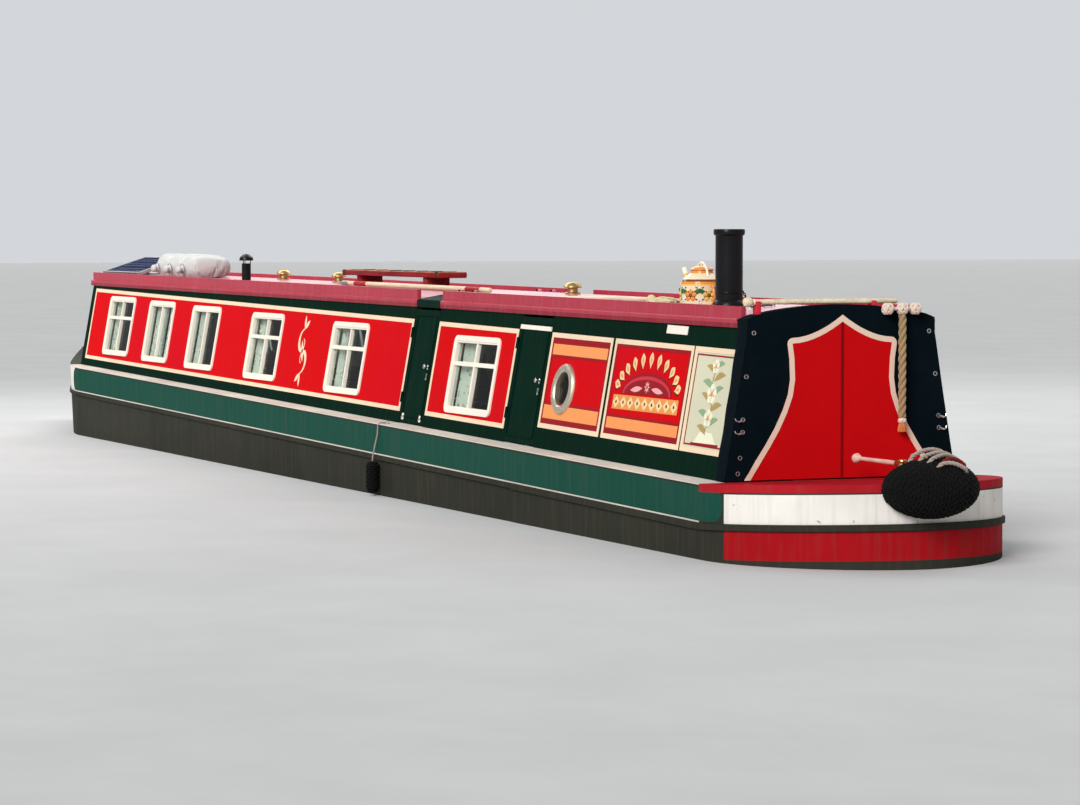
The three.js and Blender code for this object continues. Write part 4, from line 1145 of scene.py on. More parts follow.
def star(bm, centre, radius, out, paint):
    tips = round_about(centre, radius, 8, 2)
    hollows = round_about(centre, radius * 0.45, 8, 2.5)
    plate(bm, [point for pair in zip(tips, hollows) for point in pair], PAINT_BACK, out, paint)


def dot(bm, centre, radius, out=PAINT_OUT, paint=0):
    plate(bm, round_about(centre, radius, 14), PAINT_BACK, out, paint)


def rose(bm, centre, radius, petals, middle, out=PAINT_OUT):
    """The narrowboat painter's rose: a round ground, five petals and a dotted heart."""
    dot(bm, centre, radius * 0.72, out, middle)
    for at in round_about(centre, radius * 0.55, 5, 1.25):
        dot(bm, at, radius * 0.42, out + COAT, petals)
    dot(bm, centre, radius * 0.26, out + 2 * COAT, middle)


def stroke(bm, line, widths, out):
    """A brush stroke of changing width along a line of (across, up) points."""
    points = [Vector(p) for p in line]
    last = len(points) - 1
    near, far = [], []
    for k, point in enumerate(points):
        way = (points[min(k + 1, last)] - points[max(k - 1, 0)]).normalized()
        aside = Vector((-way.y, way.x)) * widths(k / last) / 2
        near.append(point - aside)
        far.append(point + aside)
    plate(bm, near + far[::-1], PAINT_BACK, out)


print("ornament ready")

# %% The arch panel
SHADE = Vector((0.009, -0.009))     # where a petal's painted shadow falls
ARCH_HEIGHT = 0.325                 # the half-round's foot over the panel's foot
ARCH_RADII = (0.40, 0.150)
ARCH_RINGS = ((0.0, 0.0, 1), (0.022, 0.0003, 4), (0.046, 0.0006, 1))    # inset, lift, paint
FAN_START = Vector((0.440, 0.180))
FAN_END = Vector((0.535, 0.290))
FAN_PETALS = 11
DIAMONDS = 9


def arch_panel(bm):
    first, last = PANELS["arch"]
    middle = (first + last) / 2
    heart = Vector((middle, panel_low(middle) + ARCH_HEIGHT))
    for inset, lift, paint in ARCH_RINGS:
        radii = ARCH_RADII[0] - inset, ARCH_RADII[1] - inset
        plate(bm, arc(heart, radii, 0, 180, 20), PAINT_BACK, PAINT_OUT + lift, paint)
    for k in range(FAN_PETALS):
        angle = math.radians(14 + 152 * k / (FAN_PETALS - 1))
        ray = Vector((math.cos(angle), math.sin(angle)))
        start = heart + FAN_START * ray
        end = heart + FAN_END * ray
        for a, b, width, lift, paint in (
                (start + SHADE, end + SHADE, 0.070, 0.0, 3),
                (start, end, 0.064, 0.0005, 0),
                (start.lerp(end, 0.2), start.lerp(end, 0.8), 0.022, 0.0009, 2)):
            leaf(bm, a, b, width, out=PAINT_OUT + lift, paint=paint, fullest=0.6)
    for radius, lift, paint in ((0.045, 0.0010, 5), (0.018, 0.0014, 1)):
        star(bm, heart + Vector((0, 0.055)), radius, PAINT_OUT + lift, paint)
    for k in (-1, 1):
        leaf(bm, heart + Vector((k * 0.07, 0.045)), heart + Vector((k * 0.26, 0.025)), 0.038,
             out=PAINT_OUT + 0.0010, paint=5)
    low, high = heart.y - 0.110, heart.y - 0.012
    half = (last - first) / 2 - BORDER_WIDTH - 0.075
    plate(bm, oblong(middle - half, low, middle + half, high), PAINT_BACK, PAINT_OUT, 2)
    for k in range(DIAMONDS):
        at = middle - half + (k + 0.5) * 2 * half / DIAMONDS, (low + high) / 2
        plate(bm, diamond(at, half / DIAMONDS * 0.9, (high - low) * 0.43), PAINT_BACK, PAINT_OUT + 0.0005, 0)
        dot(bm, at, 0.012, PAINT_OUT + 0.0009, 3)


bm = bmesh.new()
arch_panel(bm)
piece("arch_ornament", on_both_sides(bm),
      "arch_cream dark_red_line arch_gold shadow_brown rosy_red star_pink")
print("petals", FAN_PETALS)

# %% The garland panel
GARLAND_LEAVES = (  # share up the stem, reach across and up, width, paint
    (0.10, 0.26, 0.10, 0.042, 1), (0.19, -0.26, 0.11, 0.040, 3), (0.28, 0.29, 0.09, 0.044, 3),
    (0.37, -0.29, 0.10, 0.044, 1), (0.46, 0.27, 0.12, 0.040, 1), (0.55, -0.27, 0.12, 0.042, 3),
    (0.64, 0.28, 0.08, 0.046, 3), (0.73, -0.28, 0.08, 0.044, 1), (0.81, 0.24, 0.09, 0.038, 1),
    (0.87, -0.22, 0.07, 0.036, 3),
)
GARLAND_ROSES = ((0.30, 0.062), (0.58, 0.070), (0.90, 0.050))      # share up, size


def garland_panel(bm):
    first, last = PANELS["garland"]
    inset = BORDER_WIDTH + 0.030
    border(bm, panel_outline(first, last, BORDER_WIDTH + 0.012), 0.010, PAINT_BACK, PAINT_OUT)

    def spot(a, b):
        s = first + inset + (last - first - 2 * inset) * a
        low, high = panel_low(s) + inset, panel_high(s) - inset
        return s, low + (high - low) * b

    stem = [spot(0.5 + 0.035 * math.sin(k * 0.9), 0.04 + 0.90 * k / 12) for k in range(13)]
    for a, b in zip(stem, stem[1:]):
        leaf(bm, a, (b[0], b[1] + 0.012), 0.016, paint=1, steps=3)
    for up_stem, reach, rise, width, paint in GARLAND_LEAVES:
        leaf(bm, spot(0.5, up_stem), spot(0.5 + reach, up_stem + rise), width,
             bend=math.copysign(0.018, reach), out=PAINT_OUT + COAT, paint=paint)
    for up_stem, size in GARLAND_ROSES:
        rose(bm, spot(0.5, up_stem), size, 4, 2, PAINT_OUT + 2 * COAT)
    s, low = spot(0.5, 0.0)
    tub = [(s - 0.16, low + 0.004), (s + 0.16, low + 0.004),
           (s + 0.085, low + 0.075), (s - 0.085, low + 0.075)]
    plate(bm, tub, PAINT_BACK, PAINT_OUT + COAT / 2, 4)
    plate(bm, oblong(s - 0.20, low - 0.014, s + 0.20, low + 0.004), PAINT_BACK, PAINT_OUT + COAT, 0)


bm = bmesh.new()
garland_panel(bm)
piece("garland_ornament", on_both_sides(bm), "dark_red_line ochre_leaf arch_gold sage_leaf petal_white")
print("leaves", len(GARLAND_LEAVES))

# %% [markdown]
# Further forward a cream scroll sits between two windows: a spiral that is drawn twice, the second time
# half a turn round, with leaves at its tips. Two blank plates are screwed on near the roof's edge.

# %% The scroll and the plates
SCROLL_MIDDLE = 9.56
PLATE_SCREWS = ((2.065, 1.977), (2.355, 1.981), (2.065, 2.006), (2.355, 2.010))     # station, height
SCREW_HEAD = [(0, 0.0055), (0.003, 0.005), (0.004, 0.0035)]


def scroll(bm):
    middle = Vector((SCROLL_MIDDLE, (panel_low(SCROLL_MIDDLE) + panel_high(SCROLL_MIDDLE)) / 2))
    for flip in (1, -1):
        line = []
        for k in range(19):
            t = k / 18
            angle = math.radians(90 - 330 * t)
            radius = 0.115 * (1 - 0.72 * t)
            line.append(middle + flip * Vector((0.02 + radius * math.cos(angle),
                                                0.075 + radius * math.sin(angle))))
        stroke(bm, line, lambda t: 0.010 + 0.034 * math.sin(math.pi * min(1, t * 1.3 + 0.05)) ** 2, PAINT_OUT)
        tip = middle + flip * Vector((0.02, 0.19))
        leaf(bm, tip, tip + flip * Vector((-0.10, 0.075)), 0.042, out=PAINT_OUT + 0.0003)
        leaf(bm, tip, tip + flip * Vector((0.015, 0.115)), 0.036, out=PAINT_OUT + 0.0005)
    slant = Vector((0.035, 0.09))
    leaf(bm, middle - slant, middle + slant, 0.050, out=PAINT_OUT + 0.0007)
    dot(bm, middle, 0.018, PAINT_OUT + 0.0011, 1)


bm = bmesh.new()
scroll(bm)
piece("scroll_ornament", on_both_sides(bm), "cream_line dark_red_line")
bm = bmesh.new()
plate(bm, [(2.05, 1.962), (2.37, 1.966), (2.37, 2.022), (2.05, 2.018)], -0.001, 0.004)
for s, z in PLATE_SCREWS:
    turned(bm, SCREW_HEAD, (s, 0, z), sides=10, axis=(0, 1, 0))
piece("blank_plates", on_both_sides(bm), "window_white")
print("screws", 2 * len(PLATE_SCREWS))

# %% [markdown]
# A porthole is a heavy ring with its glass and a circle of screws. The ring is pale metal with warm
# tarnish in blotches, and one profile turned about the hole's middle makes it.

# %% Portholes
METALS = {  # bright colour, tarnished colour, roughness, how much tarnish
    "brass": ((0.72, 0.50, 0.20), (0.28, 0.17, 0.06), 0.3, 0.6),
    "bronze": ((0.46, 0.28, 0.14), (0.16, 0.20, 0.13), 0.4, 0.6),
    "galvanised": ((0.56, 0.57, 0.58), (0.34, 0.35, 0.36), 0.42, 0.6),
    "pale_metal": ((0.80, 0.74, 0.62), (0.55, 0.42, 0.26), 0.36, 0.6),
    "bar_silver": ((0.62, 0.62, 0.62), (0.50, 0.50, 0.50), 0.35, 0.6),
    "hatch_chrome": ((0.62, 0.62, 0.60), (0.34, 0.34, 0.33), 0.18, 0.3),
    "bright_steel": ((0.70, 0.70, 0.68), (0.45, 0.45, 0.44), 0.2, 0.25),
}
PORTHOLE = (3.91, gunwale(3.91) + 0.44)
RING_PROFILE = [  # from the glass out over the hole's edge and back behind
    (0.121, -0.028), (0.121, 0.014), (0.130, 0.024), (0.150, 0.027), (0.172, 0.021), (0.180, 0.010),
    (0.182, -0.002), (0.164, -0.002), (0.164, -0.05), (0.150, -0.05), (0.150, -0.028), (0.121, -0.028)]


def metal(name, colour, tarnished, roughness, tarnish):
    """Bright metal with tarnish in blotches and a brushed bump."""
    pot = new_pot(name, roughness, metallic=1.0)
    blotch = pot.noise(9.0, 5.0, 0.65)
    stain = pot.ramp(blotch, 0.38, 0.68, 0.0, tarnish)
    pot.finish(pot.mix(stain, colour, tarnished),
               pot.ramp(blotch, 0.3, 0.7, roughness - 0.08, roughness + 0.22),
               pot.noise(160.0, 2.0, 0.6), 0.12, 0.001)


for name, look in METALS.items():
    metal(name, *look)
ring, glass = bmesh.new(), bmesh.new()
middle = (PORTHOLE[0], 0, PORTHOLE[1])
turned(ring, RING_PROFILE, middle, sides=56, axis=(0, 1, 0))
for s, z in round_about(PORTHOLE, 0.152, 8, 0.5):
    turned(ring, [(0, 0.031), (0.005, 0.030), (0.007, 0.024)], (s, 0, z), sides=12, axis=(0, 1, 0))
turned(glass, [(0, -0.020), (0.122, -0.020), (0.122, -0.014), (0, -0.014)], middle, sides=48, axis=(0, 1, 0))
piece("porthole_rings", on_both_sides(ring), "pale_metal")
piece("porthole_glass", on_both_sides(glass), "window_glass")
print("portholes", len(SIDE_NAMES))

# %% [markdown]
# What stands on the roof comes next, from the stern forward. The chimney is a rolled steel pipe in a
# cast collar: one profile from the roof up the outside, over the rim and down the inside, spun round.
# A length of chain keeps it from going overboard at low bridges. Flue and vents are spun the same way.

# %% Black iron
CHIMNEY = (1.77, 0.5)   # station and distance to port, as for all that stands on the roof
CHIMNEY_TOP = 2.665
CHIMNEY_FOOT = [
    (0.085, -0.030), (0.128, -0.030), (0.128, 0.002), (0.124, 0.010), (0.112, 0.016), (0.110, 0.050),
    (0.106, 0.060), (0.098, 0.075), (0.0905, 0.080)]
CHIMNEY_CROWN = [
    (0.0905, -0.045), (0.096, -0.040), (0.103, -0.034), (0.104, -0.008), (0.100, 0), (0.088, 0),
    (0.085, -0.004), (0.085, -0.33), (0, -0.33)]
CHAIN_UP = 0.13         # the chain's band over the roof
FLUE = (11.9, 0.48)
FLUE_TOP = 2.445
FLUE_FOOT = [(0.03, -0.03), (0.062, -0.03), (0.062, 0.02), (0.055, 0.032), (0.042, 0.036)]
FLUE_RIM = [(0.042, -0.090), (0.036, -0.090), (0.036, -0.16), (0, -0.16)]
FLUE_CAP = [(0, -0.052), (0.060, -0.064), (0.066, -0.060), (0.060, -0.034), (0.030, -0.008), (0, 0)]
VENT_STATIONS = (5.46, 10.70, 12.23)
VENT_PROFILE = [
    (0, -0.012), (0.060, -0.012), (0.060, 0.006), (0.054, 0.012), (0.040, 0.015), (0.038, 0.044),
    (0.044, 0.046), (0.064, 0.045), (0.068, 0.052), (0.062, 0.066), (0.046, 0.080), (0.022, 0.088),
    (0, 0.090)]


def iron_paint():
    """Black enamel on iron, with a breath of rust where the weather gets at it."""
    pot = new_pot("black_iron", 0.32, coat=0.1)
    rust = pot.noise(6.0, 8.0, 0.7)
    stain = pot.ramp(rust, 0.60, 0.78, 0.0, 0.5)
    pot.finish(pot.mix(stain, (0.008, 0.008, 0.009), (0.055, 0.020, 0.010)),
               pot.ramp(rust, 0.45, 0.75, 0.32, 0.7), pot.use("weather")["peel"], 0.12)


def chain(bm, line, link, thickness, paint=0):
    """Links along a line of points, each turned a quarter from the last."""
    points = [Vector(p) for p in line]
    reach, count = 0.0, 0
    for a, b in zip(points, points[1:]):
        way = (b - a).normalized()
        across = way.orthogonal().normalized()
        while reach < (b - a).length:
            normal = Matrix.Rotation(math.radians(90 * (count % 2)), 3, way) @ across
            lay = Matrix((normal.cross(way), way, normal)).transposed().to_4x4()
            hoop(bm, a + way * reach, None, link * 0.6, thickness, sides=12, round_sides=6, stretch=1.65,
                 paint=paint, turn=lay)
            reach += link * 1.45
            count += 1
        reach -= (b - a).length


def bolts(bm, foot, radius, count, height, size, first=0.5):
    """Round heads in a circle about an upright axis."""
    for x, y in round_about(foot, radius, count, first):
        ball(bm, (x, y, foot[2] + height), size, 10, 6)


def raised(profile, height):
    return [(radius, height + h) for radius, h in profile]


iron_paint()
bm = bmesh.new()
foot = on_roof(*CHIMNEY)
turned(bm, CHIMNEY_FOOT + raised(CHIMNEY_CROWN, CHIMNEY_TOP - foot.z), foot, sides=56)
for k in range(11):
    ball(bm, foot + Vector((0.0905, 0, 0.11 + k * 0.034)), (0.003, 0.005, 0.005), 10, 6)
bolts(bm, foot, 0.119, 8, 0.006, (0.006, 0.006, 0.006))
sag = []
for k in range(9):
    t = k / 8
    s, y = CHIMNEY[0] - 0.058 * (1 - t), CHIMNEY[1] - 0.078 - 0.242 * t
    z = foot.z + CHAIN_UP * (1 - t) - 0.10 * math.sin(math.pi * t) + (roof_z(s, y) + 0.012 - foot.z) * t
    sag.append((along(s), y, max(z, roof_z(s, y) + 0.010)))
chain(bm, sag, 0.012, 0.0026)
hoop(bm, on_roof(CHIMNEY[0], 0.176, 0.006), (1, 0, 0), 0.014, 0.0035)
hoop(bm, foot + Vector((0, 0, CHAIN_UP)), (0, 0, 1), 0.094, 0.0035, sides=48)
piece("chimney_pipe", bm, "black_iron", stands_for=["chimney"])
bm = bmesh.new()
foot = on_roof(*FLUE)
tall = FLUE_TOP - foot.z
turned(bm, FLUE_FOOT + raised(FLUE_RIM, tall), foot)
turned(bm, raised(FLUE_CAP, tall), foot)
for x, y in round_about(foot, 0.039, 3):
    rod(bm, (x, y, FLUE_TOP - 0.12), (x, y, FLUE_TOP - 0.052), 0.004, sides=8)
piece("flue_pipe", bm, "black_iron", stands_for=["saloon_flue"])
for number, station in enumerate(VENT_STATIONS, 1):
    bm = bmesh.new()
    foot = on_roof(station, 0)
    turned(bm, VENT_PROFILE, foot, sides=44)
    bolts(bm, foot, 0.051, 4, 0.012, (0.005, 0.005, 0.004))
    piece(f"vent_{number}_cap", bm, "brass", stands_for=[f"mushroom_vent_{number}"])
print("vents", len(VENT_STATIONS))

# %% [markdown]
# The water can is the boatman's pride: a tapered can with a long spout, a hoop handle and roses on
# every face. The can is spun in short bands, each in its own paint. Its flowers are flattened balls
# laid round it, and the handles are arcs with a round bar run along them.

# %% Painted water can
CAN = (2.26, 0.462)
CAN_WEAR = (0.05, 0.06, 0.2, 0.36, 0.10)
CAN_COLOURS = {  # fresh, sunned; the paint numbers below count these rows
    "can_cream": ((0.84, 0.66, 0.42), (0.86, 0.74, 0.55)),
    "can_orange": ((0.80, 0.22, 0.035), (0.86, 0.34, 0.07)),
    "can_yellow": ((0.84, 0.50, 0.10), (0.88, 0.60, 0.20)),
    "can_brown": ((0.16, 0.05, 0.02), (0.22, 0.08, 0.03)),
    "can_green": ((0.03, 0.12, 0.04), (0.06, 0.17, 0.05)),
    "can_white": ((0.86, 0.83, 0.74), (0.80, 0.76, 0.66)),
}
CAN_BANDS = [  # radius, height, paint of the band above
    (0.0, 0.0, 3), (0.146, 0.0, 3), (0.149, 0.006, 3), (0.147, 0.014, 1), (0.146, 0.050, 2),
    (0.1465, 0.053, 2), (0.1455, 0.058, 0), (0.142, 0.190, 2), (0.1430, 0.194, 2), (0.1415, 0.199, 1),
    (0.139, 0.217, 3), (0.128, 0.232, 0), (0.102, 0.256, 0), (0.078, 0.272, 1), (0.074, 0.290, 3),
    (0.080, 0.293, 1), (0.079, 0.300, 1), (0.060, 0.312, 2), (0.020, 0.320, 3), (0.0, 0.321, 3)]
CAN_KNOB = [(0, 0.318), (0.009, 0.319), (0.007, 0.326), (0.012, 0.333), (0.0, 0.340)]
SPOUT_BANDS = (  # share of the spout's length, from and to, with the radius there; paint
    (0.0, 0.55, 0.027, 0.021, 1),
    (0.55, 0.80, 0.021, 0.019, 2),
    (0.80, 1.0, 0.019, 0.018, 5),
)
CAN_HANDLES = (  # middle and radii across and up, first and last angle, steps, thickness, paint
    ((0, 0.195), (0.105, 0.148), 8, 168, 20, 0.0085, 5),
    ((-0.140, 0.125), (0.055, 0.065), 90, 270, 12, 0.008, 1),
)


def can_rose(bm, foot, angle, up, size, petals, heart):
    """A rose on the can's wall: leaves, a ground, petals and a heart, each a flattened ball."""
    outward = Vector((math.cos(angle), math.sin(angle), 0))
    aside = Vector((-outward.y, outward.x, 0))
    lay = Matrix((aside, Vector((0, 0, 1)), outward)).transposed().to_4x4()
    wall = foot + outward * (0.1445 - 0.02 * up) + Vector((0, 0, up))
    for count, first, reach, wide, tall, proud, paint in (
            (3, 30, 1.15, 0.75, 0.30, 0.0020, 4), (1, 0, 0.0, 0.80, 0.80, 0.0032, heart),
            (5, 90, 0.58, 0.42, 0.34, 0.0050, petals), (1, 0, 0.0, 0.24, 0.24, 0.0068, heart)):
        for k in range(count):
            tilt = math.radians(first + 360 * k / count)
            at = wall + (aside * math.cos(tilt) + Vector((0, 0, math.sin(tilt)))) * size * reach
            ball(bm, at, (size * wide, size * tall, proud), 12, 6, paint, lay @ Matrix.Rotation(tilt, 4, "Z"))


for name, (fresh, sunned) in CAN_COLOURS.items():
    enamel(name, fresh, sunned, CAN_WEAR, coat=0.3)
bm = bmesh.new()
foot = on_roof(*CAN, -0.030)
for (radius, height, paint), (next_radius, next_height, _) in zip(CAN_BANDS, CAN_BANDS[1:]):
    turned(bm, [(radius, height), (next_radius, next_height)], foot, sides=48, paint=paint)
turned(bm, CAN_KNOB, foot, sides=20, paint=5)
for k in range(7):
    can_rose(bm, foot, math.tau * k / 7 + 0.35, 0.124, 0.046, 2 if k % 2 else 1, 3)
    for up, size in ((0.085, 0.020), (0.165, 0.018)):
        can_rose(bm, foot, math.tau * (k + 0.5) / 7 + 0.35, up, size, 5, 1)
spout = foot + Vector((0.125, 0, 0.105)), foot + Vector((0.272, 0, 0.302))
for start, end, radius, end_radius, paint in SPOUT_BANDS:
    rod(bm, spout[0].lerp(spout[1], start), spout[0].lerp(spout[1], end), radius, end_radius, sides=24,
        paint=paint)
rod(bm, foot + Vector((0.09, 0, 0.262)), spout[0].lerp(spout[1], 0.78), 0.005, sides=10, paint=3)
for centre, radii, start, end, steps, thickness, paint in CAN_HANDLES:
    line = [foot + Vector((x, 0, z)) for x, z in arc(centre, radii, start, end, steps)]
    put_in(bm, swept([line], thickness, 3), paint)
piece("painted_can", bm, " ".join(CAN_COLOURS), stands_for=["water_can"])
print("can bands", len(CAN_BANDS) - 1)

# %% [markdown]
# A boat mop is a pole with a head of cotton strands. Each strand is a soft line that leaves the collar,
# droops to the roof and wanders a little; swept as thin rods, they make the head. All painted wood on
# the boat is one recipe: long grain with darker streaks, and scuffs down to a bare brown.

# %% Mop
WOODS = {  # colour, dark grain, roughness, how the grain is squeezed along each axis
    "pole_cream": ((0.80, 0.68, 0.48), (0.62, 0.48, 0.30), 0.45, (0.7, 14, 14)),
    "plank_orange": ((0.70, 0.30, 0.07), (0.52, 0.18, 0.04), 0.5, (0.7, 14, 14)),
    "plank_red": ((0.30, 0.018, 0.02), (0.16, 0.010, 0.012), 0.45, (0.7, 14, 14)),
    "grip_strip": ((0.05, 0.04, 0.035), (0.03, 0.03, 0.03), 0.9, (0.7, 14, 14)),
    "shaft_red": ((0.42, 0.02, 0.02), (0.30, 0.015, 0.015), 0.4, (0.7, 14, 14)),
    "tiller_pink": ((0.78, 0.52, 0.44), (0.62, 0.34, 0.28), 0.4, (3, 14, 14)),
    "oak_board": ((0.16, 0.075, 0.028), (0.09, 0.040, 0.015), 0.4, (0.7, 14, 14)),
}
MOP_Y = 0.42
MOP_COLLAR = 3.15
MOP_END = 4.70
MOP_STRANDS = 84
COLLAR_PROFILE = [
    (0, -0.03), (0.020, -0.03), (0.032, -0.012), (0.034, 0.0), (0.026, 0.02), (0.019, 0.05), (0.0, 0.05)]


def wood_paint(name, colour, dark, roughness, squeeze):
    """Painted or bare wood: long grain with darker streaks and scuffs."""
    pot = new_pot(name, roughness)
    grain = pot.noise(4.0, 6.0, 0.65, pot.place(squeeze))
    tint = pot.mix(pot.ramp(grain, 0.42, 0.66), colour, dark)
    worn = pot.ramp(pot.noise(7.0, 6.0, 0.7), 0.58, 0.72, 0.0, 0.35)
    pot.finish(pot.mix(worn, tint, (0.30, 0.20, 0.12)),
               pot.ramp(grain, 0.3, 0.7, roughness - 0.12, roughness + 0.15), grain, 0.25)


for name, look in WOODS.items():
    wood_paint(name, *look)
rng = random.Random(5)
collar = on_roof(MOP_COLLAR, MOP_Y, 0.040)
strands = []
for k in range(MOP_STRANDS):
    angle = rng.uniform(-1, 1)
    lift = rng.random()
    long = rng.uniform(0.30, 0.37)
    line = []
    for step in range(9):
        t = step / 8
        s = MOP_COLLAR - long * t
        y = MOP_Y + angle * 0.085 * math.sin(min(1, t * 1.6) * math.pi / 2) + 0.006 * math.sin(9 * t + k)
        rest = roof_z(s, y) + 0.006 + 0.055 * lift * math.cos(angle * 1.2)
        z = collar.z + (rest - collar.z) * min(1, t * 2.2) - 0.020 * lift * max(0, t - 0.5)
        line.append((along(s), y, max(z, roof_z(s, y) + 0.005)))
    strands.append(line)
bm = swept(strands, 0.0055, 1)
turned(bm, COLLAR_PROFILE, collar, sides=24, axis=(1, 0, 0))
piece("mop_head", bm, "mop_cotton", stands_for=["mop"], smooth=60)
bm = bmesh.new()
end = on_roof(MOP_END, MOP_Y, 0.0165)
rod(bm, collar, end, 0.016)
ball(bm, end, (0.012, 0.0165, 0.0165), 16, 10)
piece("mop_shaft", bm, "pole_cream")
print("mop strands", len(strands))

# %% [markdown]
# The gang plank and the boat shaft lie along the roof. A plank is a box with eased edges, and the paint
# does the rest: a bright top with grip strips, and darker edges. The shaft is turned in bands of cream
# and red, and its hook is a bent bar.

# %% Gang plank and boat shaft
PLANK_STATIONS = (7.93, 10.26)
PLANK_HALF = 0.13
PLANK_THICK = 0.045
CHOCK_STATIONS = (8.3, 9.9)
SHAFT_STATIONS = (6.42, 9.95)
SHAFT_Y = 0.282


def slab(bm, middle, half, low, high, ease, paint=0):
    """A block that is given by its middle and half sizes in plan, from low to high."""
    (x, y), (a, b) = middle, half
    block(bm, (x - a, y - b, low), (x + a, y + b, high), ease, paint)


bm = bmesh.new()
low = roof_z(PLANK_STATIONS[1], 0) + 0.072
top = low + PLANK_THICK
x = along(sum(PLANK_STATIONS) / 2)
reach = (PLANK_STATIONS[1] - PLANK_STATIONS[0]) / 2
slab(bm, (x, 0), (reach, PLANK_HALF), low, top, 0.008, 1)
slab(bm, (x, 0), (reach - 0.02, PLANK_HALF - 0.012), top - 0.004, top + 0.0015, 0.001)
for k in range(7):
    slab(bm, (x + (reach - 0.20) * (k / 3 - 1), 0), (0.018, PLANK_HALF - 0.02), top, top + 0.006, 0.003, 2)
for end in (-1, 1):
    slab(bm, (x + end * (reach - 0.05), 0), (0.02, PLANK_HALF + 0.0025), low - 0.002, top + 0.003, 0.002, 2)
for station in CHOCK_STATIONS:
    slab(bm, (along(station), 0), (0.045, 0.105), roof_z(station, 0.105) - 0.010, low + 0.002, 0.006, 1)
piece("plank_with_chocks", bm, "plank_orange plank_red grip_strip",
      stands_for=["gang_plank"])
bm = bmesh.new()
start, end = [on_roof(s, SHAFT_Y, 0.0225) for s in SHAFT_STATIONS]
way = (end - start).normalized()
reach = (end - start).length
SHAFT_BANDS = (  # paint, profile
    (0, [(0, 0), (0.016, 0.002), (0.020, 0.012), (0.0205, 0.20)]),
    (1, [(0.0205, 0.20), (0.0207, 0.50)]),
    (0, [(0.0207, 0.50), (0.0210, 1.2), (0.0208, reach - 0.75)]),
    (1, [(0.0208, reach - 0.75), (0.0200, reach - 0.45)]),
    (0, [(0.0200, reach - 0.45), (0.0185, reach - 0.26)]),
    (2, raised([(0.0205, -0.30), (0.0212, -0.29), (0.0205, -0.14), (0.012, -0.10), (0.008, -0.03), (0, 0)],
               reach)),
    (2, [(0.0, reach - 0.30), (0.0205, reach - 0.30)]),
)
for paint, profile in SHAFT_BANDS:
    turned(bm, profile, start, sides=24, paint=paint, axis=way)
hook = [start + way * (reach - 0.16 + ahead) + Vector((0, across, 0.002))
        for across, ahead in arc((-0.012, 0.034), (-0.040, 0.034), -90, 115, 12)]
put_in(bm, swept([hook], 0.006, 3), 2)
piece("shaft_with_hook", bm, "pole_cream shaft_red galvanised",
      stands_for=["boat_shaft"])
print("shaft", round(reach, 2), "m")

# %% [markdown]
# The solar panel is drawn flat and tilted last, by one matrix for the whole bmesh. Its cells are
# separate chamfered plates with silver bars laid over them, in a glossy dark blue.

# %% Solar panel
PANEL_STATIONS = (14.96, 16.23)
PANEL_THICK = 0.034
PANEL_EDGE = 0.022
COLUMNS, ROWS = 8, 3
CHAMFER = 0.012
FOOT_STATIONS = (15.12, 16.02)
FOOT_HALF = 0.025


def solar_cell():
    pot = new_pot("solar_cell", 0.25, coat=0.03, specular=0.0)
    shades = pot.node("TexVoronoi", pot.place(), None, 6.5).outputs[0]
    pot.finish(pot.mix(shades, (0.006, 0.010, 0.035), (0.010, 0.020, 0.075)), 0.25)


def flat_panel(bm, long, width):
    """The panel lying flat, with its lower corner at the origin."""
    edge, top = PANEL_EDGE, PANEL_THICK
    for a, b, c, d in ((0, 0, long, edge), (0, width - edge, long, width), (0, edge, edge, width - edge),
                       (long - edge, edge, long, width - edge)):
        block(bm, (a, b, 0), (c, d, top), 0.002)
    block(bm, (0.018, 0.018, 0.010), (long - 0.018, width - 0.018, top - 0.006), 0.0, 1)
    cell_long, cell_wide = (long - 0.056) / COLUMNS, (width - 0.052) / ROWS
    a, b, cut = cell_long - 0.005, cell_wide - 0.005, CHAMFER
    corners = [(cut, 0), (a - cut, 0), (a, cut), (a, b - cut), (a - cut, b), (cut, b), (0, b - cut), (0, cut)]
    for i in range(COLUMNS):
        for j in range(ROWS):
            x, y = 0.028 + i * cell_long, 0.026 + j * cell_wide
            face = bm.faces.new([bm.verts.new((x + u, y + v, top - 0.0060)) for u, v in corners])
            face.material_index = 2
            grown = bmesh.ops.extrude_face_region(bm, geom=[face])["geom"]
            bmesh.ops.translate(bm, vec=(0, 0, 0.0016), verts=only(bmesh.types.BMVert, grown))
            for share in (0.30, 0.70):
                bar = y + b * share
                block(bm, (x, bar - 0.0012, top - 0.0046), (x + a, bar + 0.0012, top - 0.0039), 0.0, 3)


